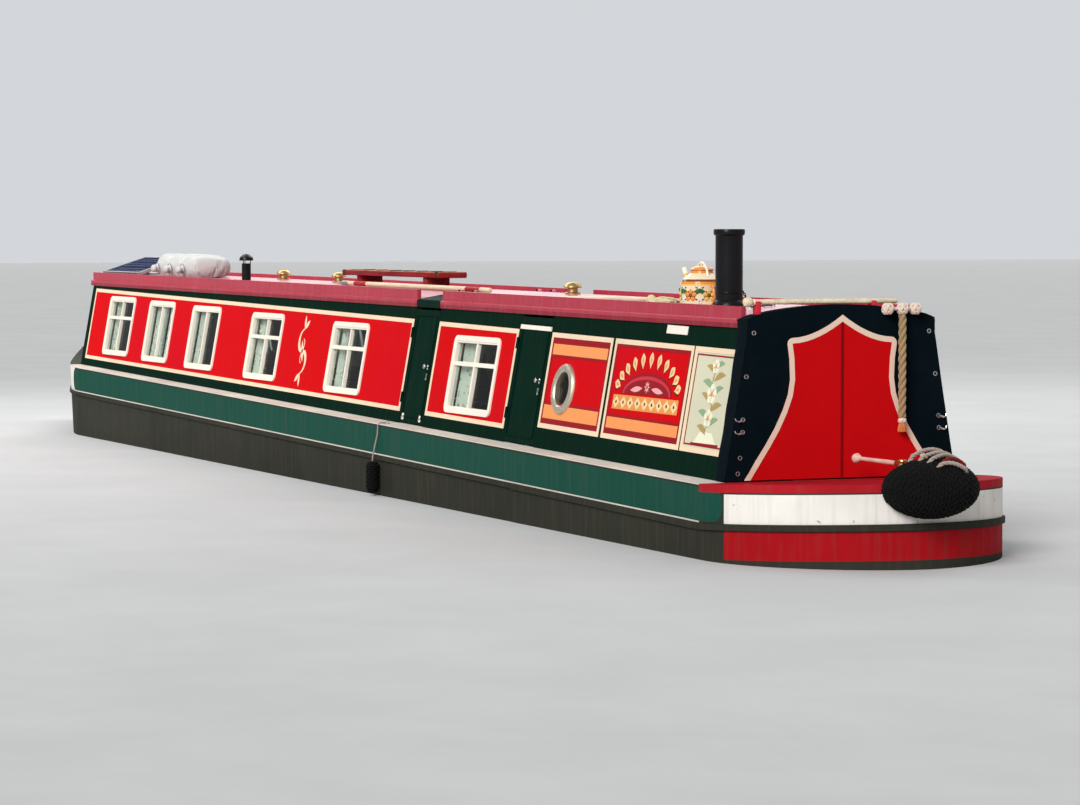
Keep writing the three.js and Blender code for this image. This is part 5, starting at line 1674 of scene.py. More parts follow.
solar_cell()
enamel("panel_back", (0.012, 0.014, 0.020), (0.020, 0.022, 0.028), (0.02, 0.02, 0.15, 0.3, 0.03), coat=0.5)
bm = bmesh.new()
low_edge = Vector((along(PANEL_STATIONS[0]), 0.61, roof_z(PANEL_STATIONS[1], 0.61) + 0.045))
high_edge = low_edge + Vector((0, -0.47, 0.150))
tilt = (high_edge - low_edge).normalized()
flat_panel(bm, PANEL_STATIONS[1] - PANEL_STATIONS[0], (high_edge - low_edge).length)
basis = Matrix(((1, 0, 0), tilt, Vector((1, 0, 0)).cross(tilt))).transposed().to_4x4()
if basis.col[2].z < 0:
    basis = basis @ Matrix.Diagonal((1, 1, -1, 1))
bmesh.ops.transform(bm, matrix=Matrix.Translation(low_edge) @ basis, verts=bm.verts)
for station in FOOT_STATIONS:
    x = along(station) + FOOT_HALF
    for y, top in ((0.59, low_edge.z + 0.010), (0.18, high_edge.z - 0.008)):
        seat = roof_z(station, y)
        slab(bm, (x, y), (FOOT_HALF, 0.004), seat - 0.012, top, 0.001)
        slab(bm, (x, y), (FOOT_HALF, 0.030), roof_z(station, y + 0.03) - 0.010, seat + 0.006, 0.001)
        ball(bm, (x, y + 0.019, seat + 0.008), (0.008, 0.008, 0.006), 8, 6, 3)
    rod(bm, (x, 0.56, low_edge.z + 0.008), (x, 0.19, roof_z(station, 0.19) + 0.02), 0.005)
piece("solar_panel_framed", bm, "galvanised panel_back solar_cell bar_silver",
      stands_for=["solar_panel"])
print("cells", COLUMNS * ROWS)

# %% [markdown]
# At the stern, a painted pole lies across the cover and three knots sit on a short bar. A Turk's head
# knot is one cord that winds round and round while it swings from side to side, passing over and under
# itself. That is a formula: the angle grows, the swing is a sine of it, and so is the height of the cord.

# %% Cover pole and Turk's heads
POLE_STATION = 1.165
POLE_Z = roof_z(POLE_STATION, 0) + 0.0399
POLE_PROFILE = [
    (0, 0), (0.012, 0.001), (0.017, 0.010), (0.017, 0.22), (0.0185, 0.225), (0.0185, 0.245), (0.017, 0.25),
    (0.017, 0.80), (0.0185, 0.805), (0.0185, 0.825), (0.017, 0.83), (0.017, 1.035), (0.022, 1.042),
    (0.016, 1.052), (0.026, 1.062), (0.033, 1.085), (0.026, 1.108), (0.012, 1.117), (0, 1.118)]
KNOT_YS = (-0.31, -0.42, -0.515)
KNOT_Z = 2.148
KNOT_LEADS = 3
KNOT_BIGHTS = 5
KNOT_STEPS = 150
TASSEL_PROFILE = [
    (0, 0), (0.012, -0.001), (0.020, -0.008), (0.023, -0.020), (0.018, -0.032), (0.014, -0.040), (0, -0.042)]
TASSEL_THREADS = 64
GOLDEN_TURN = 0.381966


def turks_head(bm, centre, radii, strand=0.0062, paint=0):
    """A knot of woven cord over a ball."""
    for lane in (-0.5, 0.5):
        line = []
        for n in range(KNOT_STEPS):
            angle = math.tau * KNOT_LEADS * n / KNOT_STEPS
            weave = angle * KNOT_BIGHTS / KNOT_LEADS
            tilt = math.radians(52) * math.sin(weave) + lane * strand * 2.1 / radii[0]
            flat = math.cos(tilt)
            place = Vector((flat * math.cos(angle), flat * math.sin(angle), math.sin(tilt)))
            place *= 0.93 + 0.108 * math.sin(2 * weave + 0.4)
            line.append(Vector(centre) + place * Vector(radii))
        put_in(bm, swept([line], strand, 2, closed=True), paint)
    ball(bm, centre, [r * 0.86 for r in radii], 18, 12, paint)


bm = bmesh.new()
turned(bm, POLE_PROFILE, (along(POLE_STATION), -0.42, POLE_Z), sides=28, axis=(0, 1, 0))
piece("pole_with_knob", bm, "pole_cream", stands_for=["cover_pole"])
bm = bmesh.new()
for y in KNOT_YS:
    turks_head(bm, (ROPE_X, y, KNOT_Z), (0.034, 0.036, 0.039))
put_in(bm, swept([[(ROPE_X, -0.285 - 0.02 * k, KNOT_Z) for k in range(13)]], 0.011, 3))
piece("turks_heads", bm, "knot_cotton", stands_for=["rope_knots"], smooth=60)
bm = bmesh.new()
tassel_top = Vector((ROPE_X, ROPE_Y, ROPE_FOOT - 0.0003))
turned(bm, TASSEL_PROFILE, tassel_top, sides=20, paint=1)
turks_head(bm, tassel_top - Vector((0, 0, 0.020)), (0.024, 0.024, 0.019), strand=0.0042, paint=1)
threads = []
for k in range(TASSEL_THREADS):
    angle, ring = math.tau * k * GOLDEN_TURN, math.sqrt((k + 0.5) / TASSEL_THREADS)
    spread = Vector((math.cos(angle), math.sin(angle), 0)) * ring
    drops = ((0.034, 0.013), (0.050, 0.022), (0.072, 0.0265), (0.092 - 0.002 * math.sin(k), 0.028))
    threads.append([tassel_top - Vector((0, 0, drop)) + spread * out for drop, out in drops])
put_in(bm, swept(threads, 0.0026, 1))
tassel = piece("tassel", bm, "tassel_cotton knot_cotton", stands_for=["rope_tassel"],
               smooth=60)
print("knots", len(KNOT_YS), "threads", len(threads))

# %% [markdown]
# The tiller is a turned bar on the swan-neck's collar. It rides on the steering body, so that it
# swings with the rudder.

# %% Tiller
RUDDER_X = along(0.33)
TILLER_Z = 1.194
TILLER_CAP = [
    (0, 1.170), (0.030, 1.170), (0.0305, 1.176), (0.027, 1.182), (0.027, 1.206), (0.0305, 1.212),
    (0.029, 1.219), (0.016, 1.222), (0, 1.222)]
TILLER_SOCKET = [(0.0, 0.02), (0.019, 0.022), (0.020, 0.070), (0.016, 0.076), (0.0155, 0.080)]
TILLER_BAR = [
    (0.0, 0.076), (0.0135, 0.078), (0.0155, 0.20), (0.0140, 0.40), (0.0130, 0.545), (0.018, 0.552),
    (0.014, 0.560), (0.024, 0.570), (0.033, 0.595), (0.026, 0.620), (0.010, 0.628), (0, 0.629)]

bm = bmesh.new()
turned(bm, TILLER_CAP, (RUDDER_X, 0, 0), sides=32, paint=1)
turned(bm, TILLER_SOCKET, (RUDDER_X, 0, TILLER_Z), sides=24, paint=1, axis=(1, 0, 0))
turned(bm, TILLER_BAR, (RUDDER_X, 0, TILLER_Z), sides=24, axis=(1, 0, 0))
piece("tiller_bar", bm, "tiller_pink brass", body="steering", stands_for=["tiller"])
print("tiller", TILLER_BAR[-1][1], "m")

# %% [markdown]
# Rope fenders are hitched over a core: row after row of tarred rope, each hitch locked over the one
# before it. Rows that run round the fender and swell and shrink in turn give that woven look, and
# where a fender leans on the steel its rows are pushed flat against it. Pale and red lashings hold the
# stern fender, tied to a ring on the counter.

# %% Fenders
FENDER_MIDDLE = Vector((along(-0.02), 0, 1.065))
FENDER_RADII = (0.28, 0.30, 0.19)
FENDER_ROPE = 0.026
LASHINGS = (  # how far round the fender from forward in degrees, first and last place across, lift, paint
    (78, 0.12, -0.205, 0.040, 1),
    (93, 0.10, -0.220, 0.026, 1),
    (107, 0.07, -0.205, 0.020, 1),
    (121, 0.00, -0.185, 0.016, 3),
    (133, 0.04, -0.160, 0.014, 1),
)
LASHING_SIZE = 0.027
RING_YS = (-0.11, 0.06)
RING_X = along(0.205)


def hitched(bm, centre, radii, axis, rope_size, keep_out=None):
    """Rows of hitches round an ellipsoid about its axis (0, 1 or 2)."""
    a, b, c = axis, (axis + 1) % 3, (axis + 2) % 3
    widest = max(radii[b], radii[c])
    rows = int(math.pi * (radii[a] + widest) / 2 / (rope_size * 0.88))
    lines = []
    for k in range(1, rows):
        tilt = math.pi * (k / rows - 0.5)
        hitches = max(5, int(math.tau * widest * math.cos(tilt) / (rope_size * 2.1)))
        line = []
        for n in range(hitches * 4):
            angle = math.tau * n / (hitches * 4)
            swell = 1 + 0.14 * rope_size / max(radii) * math.sin(math.pi * n / 2 + math.pi * (k % 2))
            place = Vector((0, 0, 0))
            place[a] = radii[a] * math.sin(tilt) + 0.22 * rope_size * math.cos(math.pi * n / 2)
            place[b] = (radii[b] - rope_size / 2) * math.cos(tilt) * math.cos(angle) * swell
            place[c] = (radii[c] - rope_size / 2) * math.cos(tilt) * math.sin(angle) * swell
            place += centre
            line.append(keep_out(place, rope_size / 2) if keep_out else place)
        lines.append(line)
    put_in(bm, swept(lines, rope_size / 2, 1, closed=True))


def off_counter(place, gap):
    """Moves a point aft, off the counter's edge."""
    across = min(1.0, abs(place.y) / HALF_BEAM)
    edge = 1.06 - 1.06 * (1 - across ** 1.8) ** (1 / 1.8)
    return Vector((min(place.x, along(edge) - gap - 0.001), place.y, place.z))


def lashing(row, angle, first, last, lift):
    """The line of one lashing over the fender, from and to under its rows."""
    line = []
    for step in range(13):
        share = step / 12
        y = first + (last - first) * share
        shrink = math.sqrt(1 - (y / FENDER_RADII[1]) ** 2)
        turn = math.radians(angle) + 0.10 * math.sin(math.pi * share + row)
        out = Vector((math.cos(turn), 0, math.sin(turn)))
        hold = LASHING_SIZE * (0.4 if 0 < step < 12 else -0.4) + lift * math.sin(math.pi * share)
        skin = Vector((out.x * FENDER_RADII[0] * shrink, y, out.z * FENDER_RADII[2] * shrink))
        line.append(FENDER_MIDDLE + skin + out * hold)
    return line


bm = bmesh.new()
hitched(bm, FENDER_MIDDLE, FENDER_RADII, 1, FENDER_ROPE, off_counter)
core = bmesh.new()
ball(core, FENDER_MIDDLE, [r - 0.016 for r in FENDER_RADII], 40, 24)
for v in core.verts:
    v.co = off_counter(v.co, 0.014)
put_in(bm, core)
for row, (angle, first, last, lift, paint) in enumerate(LASHINGS):
    line = lashing(row, angle, first, last, lift)
    if row == 0:
        line = [Vector((RING_X, RING_YS[1], 1.100)), Vector((along(0.165), RING_YS[1] + 0.02, 1.135)), *line]
    put_in(bm, laid(line, LASHING_SIZE, LASHING_SIZE * 3), paint)
for y in RING_YS:
    hoop(bm, (RING_X, y, 1.094), (0, 1, 0.2), 0.012, 0.005, paint=2)
    slab(bm, (along(0.21), y), (0.03, 0.02), 1.079, 1.086, 0.002, 2)
piece("stern_fender_woven", bm, "fender_rope fender_lashing galvanised red_lashing",
      stands_for=["stern_fender"], smooth=60)
print("lashings", len(LASHINGS))

# %% [markdown]
# The bow fender is hitched like the stern one and hangs in chains from the stem head. The small side
# fenders are coils of rope round a turned core, on short lanyards tied off at the gunwale.

# %% Bow and side fenders
BOW_MIDDLE = Vector((along(18.56), 0, 1.218))
BOW_CHAIN = ((0.03, 0.060, 0.196), (-0.05, 0.085, 0.225), (-0.16, 0.110, 0.262))
SIDE_FENDER = 6.95
SIDE_TOP = -0.293       # the fender's top, from the gunwale
SIDE_OUT = 0.0548       # its middle, out from the plating
SIDE_CORE = [(0, -0.255), (0.034, -0.252), (0.044, -0.235), (0.044, -0.02), (0.030, -0.004), (0, 0)]
SIDE_COILS = 12
LANYARD = (  # out from the plating, height over the gunwale
    (0.0548, -0.297), (0.0528, -0.258), (0.040, -0.20), (0.012, -0.08), (0.008, -0.008), (-0.010, 0.009),
    (-0.060, 0.009))
EYE_IN = 0.065

bm = bmesh.new()
hitched(bm, BOW_MIDDLE, (0.24, 0.175, 0.21), 2, 0.024)
ball(bm, BOW_MIDDLE, (0.224, 0.160, 0.195), 36, 24)
for side in (-1, 1):
    chain(bm, [BOW_MIDDLE + Vector((x, side * y, z)) for x, y, z in BOW_CHAIN], 0.011, 0.0028, 1)
piece("bow_fender_woven", bm, "fender_rope galvanised", stands_for=["bow_fender"],
      smooth=60)
x, rail = along(SIDE_FENDER), gunwale(SIDE_FENDER)
for side, side_name in SIDE_NAMES.items():
    bm = bmesh.new()
    top = Vector((x, side * (HALF_BEAM + SIDE_OUT), rail + SIDE_TOP))
    coils = []
    for k in range(SIDE_COILS):
        radius = 0.035 if k in (0, SIDE_COILS - 1) else 0.045
        coils.append([])
        for n in range(36):
            turn = math.tau * n / 36
            out = radius + 0.0012 * math.sin(6 * turn + k * 1.5)
            sink = 0.020 + k * 0.0195 - 0.003 * math.sin(6 * turn + k * math.pi)
            coils[-1].append(top + Vector((out * math.cos(turn), out * math.sin(turn), -sink)))
    put_in(bm, swept(coils, 0.0092, 2, closed=True))
    turned(bm, SIDE_CORE, top, sides=24)
    lanyard = [(x, side * (HALF_BEAM + out), rail + over) for out, over in LANYARD]
    put_in(bm, laid(lanyard, 0.012, 0.04), 1)
    y = side * (HALF_BEAM - EYE_IN)
    hoop(bm, (x, y, rail + 0.010), (1, 0, 0), 0.014, 0.0045, paint=2)
    slab(bm, (x, y), (0.022, 0.022), rail - 0.001, rail + 0.003, 0.001, 2)
    piece(f"side_fender_{side_name}_rope", bm, "fender_rope fender_lashing galvanised",
          stands_for=[f"side_fender_{side_name}"], smooth=60)
print("fenders", 2 + len(SIDE_NAMES))

# %% [markdown]
# Three sacks of fuel lie side by side. A full plastic sack is soft, so its shape comes from a cloth
# simulation: the shell starts a little small, with its underside held to the roof, and air pressure
# swells it while the cloth, cut slightly too large, has to crease. A cap on the travel keeps each sack
# against its neighbour instead of inside it. The result is applied, so the finished piece is plain mesh.

# %% Fuel sacks
SACK_STATIONS = (13.70, 14.12, 14.54)
SACK_Y = 0.33
SACK_HALF = (0.197, 0.262, 0.122)   # along the boat, across it and up
SACK_SPACE = 0.209
SACK_TRAVEL = 0.018
SACK_FRAMES = 20
GATHER_FROM = 0.45      # where the sack starts to narrow, as a share of the half length
NECK = 0.80             # where the string is tied
NECK_SIZE = 0.26
CLOTH_SETTINGS = {
    "quality": 4, "mass": 0.12, "tension_stiffness": 14, "compression_stiffness": 14,
    "shear_stiffness": 6, "bending_stiffness": 0.15, "shrink_min": -0.07, "use_pressure": True,
    "uniform_pressure_force": 4, "vertex_group_mass": "held",
}


def sack_plastic():
    """White woven plastic, a little grubby."""
    pot = new_pot("sack_plastic", 0.42, coat=0.1, specular=0.3)
    dirt = pot.noise(9.0, 6.0, 0.68)
    grubby = pot.ramp(dirt, 0.56, 0.78, 0.0, 0.55)
    pot.finish(pot.mix(grubby, (0.56, 0.555, 0.53), (0.27, 0.26, 0.24)),
               pot.ramp(dirt, 0.4, 0.75, 0.34, 0.62), pot.wave("X", 110.0, 0.4, 1.0), 0.15, 0.0012)


def gathered(b):
    """How much of the sack's full thickness is left at b, which runs from -1 to 1."""
    if b < GATHER_FROM:
        return 1.0
    if b < NECK:
        share = (b - GATHER_FROM) / (NECK - GATHER_FROM)
        return 1 + (NECK_SIZE - 1) * share * share * (3 - 2 * share)
    return NECK_SIZE + 0.42 * (b - NECK) / (1 - NECK)


def sack_shell(number, station):
    """A pillow with squared-off ends, gathered to a neck at the port end."""
    bm = bmesh.new()
    bmesh.ops.create_uvsphere(bm, u_segments=56, v_segments=36, radius=1)
    seat = roof_z(station, SACK_Y)
    for v in bm.verts:
        a, b, c = [math.copysign(abs(part) ** 0.80, part) for part in v.co]
        lump = 1 + 0.06 * noise.noise(Vector((a * 1.7 + number * 5, b * 1.7, c * 1.7)))
        size = gathered(b) * lump
        s = station + a * SACK_HALF[0] * size
        y = SACK_Y + b * SACK_HALF[1]
        z = seat + 0.100 - 0.035 * max(0, b - NECK + 0.15) + c * SACK_HALF[2] * size
        v.co = (along(s), y, max(z, roof_z(s, y) + 0.004))
    mesh = bpy.data.meshes.new("sack_shell")
    bm.to_mesh(mesh)
    bm.free()
    shell = placed("sack_shell", mesh)
    even = shell.modifiers.new("even", "REMESH")
    even.mode = "VOXEL"
    even.voxel_size = 0.009
    return shell


def as_it_stands(thing):
    """The mesh that a thing's modifiers make, by itself."""
    bpy.context.view_layer.update()
    return bpy.data.meshes.new_from_object(thing.evaluated_get(bpy.context.evaluated_depsgraph_get()))


def swollen(shell, station):
    """Blows the shell up as cloth under pressure and returns the capped result as a mesh."""
    even = as_it_stands(shell)
    shell.modifiers.clear()
    shell.data = even
    held = shell.vertex_groups.new(name="held")
    held.add([v.index for v in even.vertices
              if v.co.z < roof_z(v.co.x + MID_STATION, v.co.y) + 0.009], 1.0, "REPLACE")
    start = [v.co.copy() for v in even.vertices]
    cloth = shell.modifiers.new("swell", "CLOTH").settings
    for name, value in CLOTH_SETTINGS.items():
        setattr(cloth, name, value)
    cloth.effector_weights.gravity = 0
    for moment in range(1, SACK_FRAMES + 1):
        bpy.context.scene.frame_set(moment)
    blown = as_it_stands(shell)
    shell.modifiers.clear()
    for v, before in zip(blown.vertices, start):
        travel = v.co - before
        if travel.length > SACK_TRAVEL:
            travel *= SACK_TRAVEL / travel.length
        v.co = before + travel
        s = min(max(v.co.x + MID_STATION, station - SACK_SPACE), station + SACK_SPACE)
        v.co.x = along(s)
        v.co.z = max(v.co.z, roof_z(s, v.co.y) + 0.003)
    bpy.context.scene.frame_set(1)
    return blown


sack_plastic()
for number, station in enumerate(SACK_STATIONS, 1):
    shell = sack_shell(number, station)
    bm = bmesh.new()
    bm.from_mesh(swollen(shell, station))
    bpy.data.objects.remove(shell)
    sack = piece(f"fuel_sack_{number}", bm, "sack_plastic", stands_for=["fuel_sacks"],
                 smooth=180)
    neck = on_roof(station, SACK_Y, 0.096) + Vector((0, NECK * SACK_HALF[1], 0))
    tie = []
    for n in range(24):
        angle = math.tau * n / 24
        ahead, aside, up = 0.066 * math.cos(angle), 0.004 * math.sin(3 * angle), 0.046 * math.sin(angle)
        tie.append(neck + Vector((ahead, aside, up)))
    piece(f"sack_tie_{number}", swept([tie], 0.004, 2, closed=True), "tie_string")
    print("sack", number, len(sack.data.vertices), "points")

# %% [markdown]
# Curtains hang behind the windows. A gathered curtain is a wave along its rail; its cloth was cut as
# wide as that wave is long, and the length of the wave gives the cloth's flat width. The sprig
# pattern runs in the cloth's own flat measure, which the UV map holds.

# %% Curtains, rails and window boards
DRAWN_SHUT = (0.50, 0.49)
CURTAINS_DRAWN = {  # port windows, as a share of the glass: forward end, aft end; starboard's are shut
    "aft": (0.34, 0.12),
    "second": (0.22, 0.14),
    "third": (0.24, 0.12),
    "fourth": (0.24, 0.18),
    "fifth": (0.49, 0.46),
    "sixth": (0.26, 0.20),
}
CURTAIN_OUT = -0.078
RAIL_OVER = 0.040
PLEAT = 0.036
PLEAT_DEPTH = 0.011
CURTAIN_ROWS = 10
WALL_INNER = -0.0505


def curtain_print():
    """Pale cotton with a sprig pattern."""
    pot = new_pot("curtain_print", 0.85, sheen=0.3)
    place = pot.node("UVMap").outputs["UV"]
    sprigs = pot.node("TexVoronoi", place, None, 22.0).outputs[0]
    cloud = pot.noise(14.0, 3.0, 0.6, place)
    ground = pot.mix(cloud, (0.78, 0.78, 0.66), (0.86, 0.85, 0.75))
    pot.finish(pot.mix(pot.ramp(sprigs, 0.18, 0.30, 1.0, 0.0), ground, (0.30, 0.42, 0.32)),
               pot.ramp(cloud, 0.3, 0.7, 0.75, 0.95), pot.wave("Y", 160.0, 0.2, 1.0, place=place), 0.1, 0.001)


def curtain(name, low_end, high_end, foot, top, side):
    """One gathered curtain between two stations."""
    span = high_end - low_end
    pleats = max(3, round(span / PLEAT))
    columns, rows = pleats * 8, CURTAIN_ROWS
    bm = bmesh.new()
    uv = bm.loops.layers.uv.new("cloth")
    grid, run = [], [0]
    for i in range(columns + 1):
        share = i / columns
        depth = PLEAT_DEPTH * (1 + 0.25 * math.sin(share * 9 + len(name)))
        wave = math.sin(math.tau * pleats * share) * depth
        grid.append([])
        for j in range(rows + 1):
            drop = j / rows
            sway = 0.004 * math.sin(5 * share + 3 * drop) * drop
            spread = span * (share - 0.5) * (1 - 0.05 * math.sin(math.pi * drop))
            s = (low_end + high_end) / 2 + spread + sway
            out = CURTAIN_OUT + wave * (0.85 + 0.15 * drop)
            grid[-1].append(bm.verts.new((s, out, top + (foot - top) * drop)))
    for before, after in zip(grid, grid[1:]):
        run.append(run[-1] + (after[rows // 2].co - before[rows // 2].co).length)
    for i in range(columns):
        for j in range(rows):
            corners = ((i, j), (i + 1, j), (i + 1, j + 1), (i, j + 1))
            face = bm.faces.new([grid[a][b] for a, b in corners])
            for loop, (a, b) in zip(face.loops, corners):
                loop[uv].uv = (run[a], (top - foot) * b / rows)
    lay_on(bm.verts, side)
    bmesh.ops.solidify(bm, geom=list(bm.faces), thickness=0.0012)
    made = piece(name, bm, "curtain_print", smooth=60, merge=1e-6)


curtain_print()
for side, side_name in SIDE_NAMES.items():
    rails, boards = bmesh.new(), bmesh.new()
    for first, last in WINDOWS.values():
        low = sill(first, last)
        rail_z = low + WINDOW_TALL + RAIL_OVER
        long = last - first + 0.12
        turned(rails, [(0, 0), (0.011, 0.002), (0.011, 0.012), (0.005, 0.016), (0.005, long - 0.016),
                       (0.011, long - 0.012), (0.011, long - 0.002), (0, long)],
               (first - 0.06, CURTAIN_OUT, rail_z), sides=14, axis=(1, 0, 0))
        for s in (first - 0.035, last + 0.035):
            block(rails, (s - 0.006, CURTAIN_OUT - 0.006, rail_z - 0.012),
                  (s + 0.006, WALL_INNER, rail_z + 0.010), 0.002)
        block(boards, (first - 0.05, -0.140, low - 0.030), (last + 0.05, WALL_INNER, low - 0.012), 0.004)
    lay_on(rails.verts, side)
    lay_on(boards.verts, side)
    piece(f"rail_{side_name}", rails, "brass")
    piece(f"window_boards_{side_name}", boards, "oak_board")
    for key, (first, last) in WINDOWS.items():
        low = sill(first, last)
        foot, top = low - 0.008, low + WINDOW_TALL + RAIL_OVER - 0.006
        forward, aft = [share * (last - first + 0.03)
                        for share in (CURTAINS_DRAWN[key] if side_name == "port" else DRAWN_SHUT)]
        name = f"curtain_{side_name}_{key}"
        curtain(name + "_forward", last + 0.02 - forward, last + 0.02, foot, top, side)
        curtain(name + "_aft", first - 0.02, first - 0.02 + aft, foot, top, side)
print("curtains", 4 * len(WINDOWS))

# %% [markdown]
# Each hatch door rides on its own body, so its moulding and its handle are pieces of their own that
# swing with it. The white drip strip over the aft hatches belongs to them, and so do the small white
# plates with rings at the foot of the middle ones.

# %% Hatch doors
HATCH_SPANS = {"aft": (4.28, 4.86), "mid": (6.50, 7.01)}
MOULDING_IN = 0.040     # from the door's edge
KNOB_PROFILE = [
    (0, -0.001), (0.020, -0.001), (0.020, 0.003), (0.013, 0.005), (0.008, 0.010), (0.008, 0.020),
    (0.017, 0.028), (0.018, 0.034), (0.012, 0.040), (0, 0.041)]


def hatch_outline(first, last, inset):
    a, b, c, d = strip(first, last, gunwale, eaves, 0.012 + inset, -0.020 - inset)
    return [(a[0] + inset, a[1]), (b[0] - inset, b[1]), (c[0] - inset, c[1]), (d[0] + inset, d[1])]


for side, side_name in SIDE_NAMES.items():
    for place, (first, last) in HATCH_SPANS.items():
        bm = bmesh.new()
        border(bm, hatch_outline(first, last, MOULDING_IN), 0.012, -0.001, 0.005)
        border(bm, hatch_outline(first, last, MOULDING_IN + 0.003), 0.006, -0.001, 0.0085)
        s, waist = first + 0.085, (gunwale(first) + eaves(first)) / 2
        turned(bm, KNOB_PROFILE, (s, 0, waist), sides=24, paint=2, axis=(0, 1, 0))
        block(bm, (s - 0.013, -0.001, waist - 0.100), (s + 0.013, 0.003, waist - 0.050), 0.001, 2)
        ball(bm, (s, 0.003, waist - 0.072), (0.004, 0.003, 0.004), 10, 6, 3)
        if place == "aft":
            drip = strip(first + 0.01, last - 0.01, panel_high, panel_high, 0.004, 0.036)
            plate(bm, drip, -0.001, 0.010, 1)
        else:
            for s in (first + 0.07, last - 0.07):
                rail = gunwale(s)
                block(bm, (s - 0.016, -0.001, rail + 0.030), (s + 0.016, 0.008, rail + 0.082), 0.003, 1)
                hoop(bm, (s, 0.011, rail + 0.052), (0, 1, 0), 0.008, 0.0022, sides=16, round_sides=6, paint=2)
        lay_on(bm.verts, side)
        piece(f"hatch_trim_{side_name}_{place}", bm, "green_paint window_white hatch_chrome black_iron",
              body=f"side_hatch_{side_name}_{place}")
print("hatches", 2 * len(HATCH_SPANS))

# %% [markdown]
# The front doors open on to the well deck. Their panels carry the same painted flowers as the can:
# roses and leaves on red above, and diamonds below, in the manner of every narrowboat. Both doors are
# drawn as the port one, in distances across, out and up, and turned to face the bow at the end.

# %% Front doors
DOOR_SPAN = (0.045, 0.315)
DOOR_UPPER = (1.22, 1.95)
DOOR_LOWER = (0.80, 1.16)
DOOR_ROSES = ((1.80, 0.046), (1.585, 0.066), (1.37, 0.046))     # height, size
HANDLE_Z = 1.385


def door_panels(bm):
    a, b = DOOR_SPAN
    middle = (a + b) / 2
    upper = oblong(a, DOOR_UPPER[0], b, DOOR_UPPER[1])
    plate(bm, upper, -0.0015, 0.0015)
    border(bm, upper, 0.022, -0.001, 0.005, 1)
    border(bm, oblong(a, DOOR_LOWER[0], b, DOOR_LOWER[1]), 0.022, -0.001, 0.005, 1)
    for z, size in DOOR_ROSES:
        for tip in round_about((middle, z), 1.7 * size, 6, 0.5):
            leaf(bm, (middle, z), tip, size * 0.75, out=0.0022, paint=2)
        rose(bm, (middle, z), size, 1, 3, out=0.0028)
    for k in range(4):
        at = middle, DOOR_LOWER[0] + 0.06 + k * 0.08
        reach = (b - a) / 2 - 0.05
        plate(bm, diamond(at, reach, 0.034), -0.001, 0.0018)
        plate(bm, diamond(at, reach * 0.6, 0.020), -0.001, 0.0024, 1)


def door_handle(bm):
    block(bm, (0.006, -0.001, 1.30), (0.036, 0.004, 1.42), 0.001, 4)
    rod(bm, (0.021, 0.0, HANDLE_Z), (0.021, 0.045, HANDLE_Z), 0.006, paint=4)
    rod(bm, (0.021, 0.040, HANDLE_Z), (0.125, 0.040, HANDLE_Z), 0.0065, 0.0050, paint=4)
    ball(bm, (0.125, 0.040, HANDLE_Z), (0.0085, 0.0085, 0.0085), 14, 10, 4)


for side, side_name in SIDE_NAMES.items():
    bm = bmesh.new()
    door_panels(bm)
    if side_name == "port":
        door_handle(bm)
    for v in bm.verts:
        across, out, z = v.co
        v.co = (along(CABIN_FRONT) + out, side * across, z)
    piece(f"front_door_{side_name}_paint", bm, "panel_red cream_line sage_leaf rose_pink brass",
          body=f"front_door_{side_name}")
print("front doors", len(SIDE_NAMES))

# %% [markdown]
# Small fittings hold the cover: eyelets and bright hooks low on each side, and two notched rests under
# the pole. A brass collar goes round the rudder's stock where it comes up through the counter.

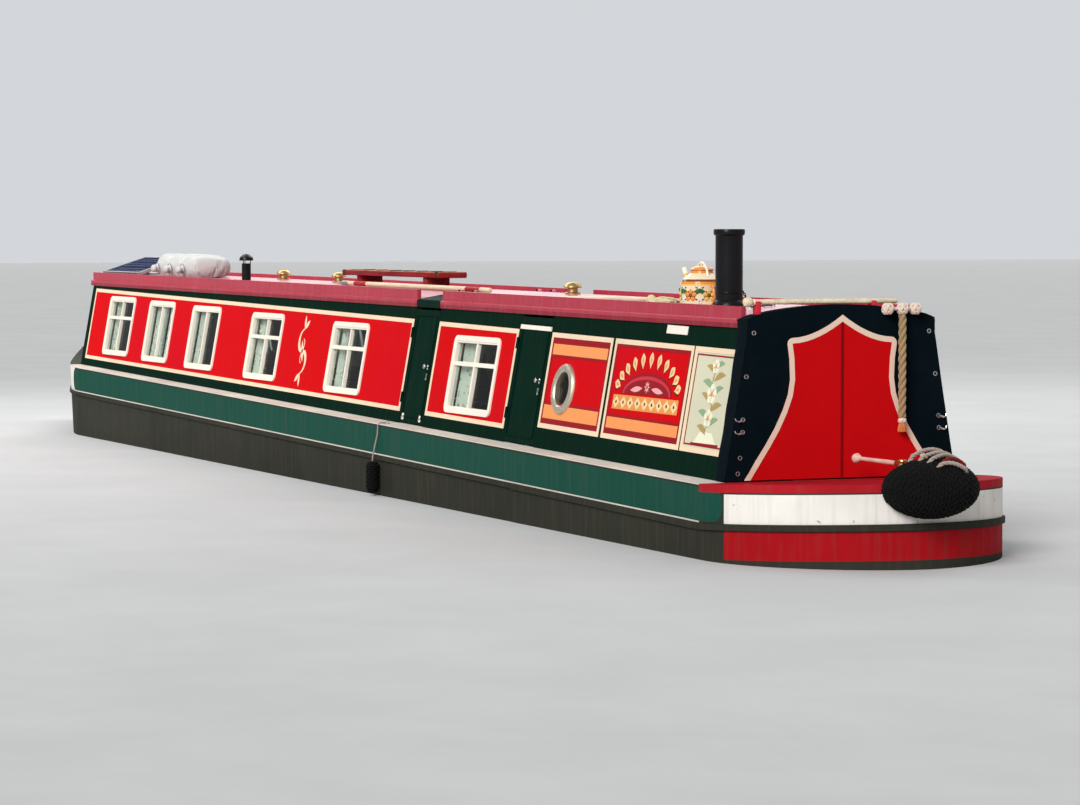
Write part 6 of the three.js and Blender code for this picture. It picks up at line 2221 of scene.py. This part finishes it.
# %% Cover fittings
HOOKS = ((0.715, 1.445), (0.718, 1.365))        # distance out and height
EYELETS = HOOKS + ((0.735, 1.20), (0.752, 1.10), (0.640, 2.00), (0.690, 1.72))
HOOK_LINE = (  # off the canvas, outwards, up
    (0.006, 0.0, 0.0), (0.012, 0.010, -0.004), (0.012, 0.034, -0.012), (0.008, 0.052, -0.004),
    (0.004, 0.056, 0.010))
POLE_RESTS = (0.60, -0.24)
REST_PARTS = (  # along from the pole, half sizes, foot from the canvas, top from the pole, edge
    (-0.02225, (0.00775, 0.016), -0.004, 0.004, 0.003),
    (0.02225, (0.00775, 0.016), -0.004, 0.004, 0.003),
    (0.0, (0.024, 0.014), -0.003, -0.0175, 0.002),
)
STOCK_COLLAR = [
    (0.0165, 0.0), (0.048, 0.0), (0.048, 0.005), (0.036, 0.008), (0.034, 0.020), (0.020, 0.024),
    (0.0165, 0.024)]
DECK_Z = 1.081

bm = bmesh.new()
for side in (-1, 1):
    for y, z in EYELETS:
        face = cover_x(side * y, z)
        hoop(bm, (face - 0.0005, side * y, z), (1, 0, 0), 0.0125, 0.0034)
        ball(bm, (face + 0.001, side * y, z), (0.002, 0.009, 0.009), 12, 6, 1)
    for y, z in HOOKS:
        face = cover_x(side * y, z)
        hook = [(face - off, side * (y + out), z + lift) for off, out, lift in HOOK_LINE]
        put_in(bm, swept([hook], 0.0042, 2))
        rod(bm, (face - 0.010, side * (y + 0.014), z - 0.006), (face - 0.010, side * (y + 0.034), z - 0.012),
            0.0075)
piece("cover_fittings", bm, "bright_steel black_iron")
bm = bmesh.new()
for y in POLE_RESTS:
    seat = cover_crown(y) + 0.001
    for ahead, half, low, top, ease in REST_PARTS:
        slab(bm, (along(POLE_STATION) + ahead, y), half, seat + low, POLE_Z + top, ease)
piece("pole_rests", bm, "rosy_red")
bm = bmesh.new()
turned(bm, STOCK_COLLAR, (RUDDER_X, 0, DECK_Z), sides=36)
bolts(bm, (RUDDER_X, 0, DECK_Z), 0.042, 6, 0.006, (0.004, 0.004, 0.003), first=0)
piece("rudder_collar", bm, "brass")
print("eyelets", 2 * len(EYELETS))

# %% [markdown]
# What is left of the frame's own solids gets its finish: the propeller's bronze and the engine's grey
# enamel. The rudder already has the hull's blacking.

# %% Engine and propeller
enamel("engine_enamel", (0.10, 0.13, 0.12), (0.16, 0.18, 0.16), (0.12, 0.2, 0.3, 0.55, 0.1), coat=0.1)
dress("engine_enamel", "engine")
dress("bronze", "propeller")
print("materials", len(paints))
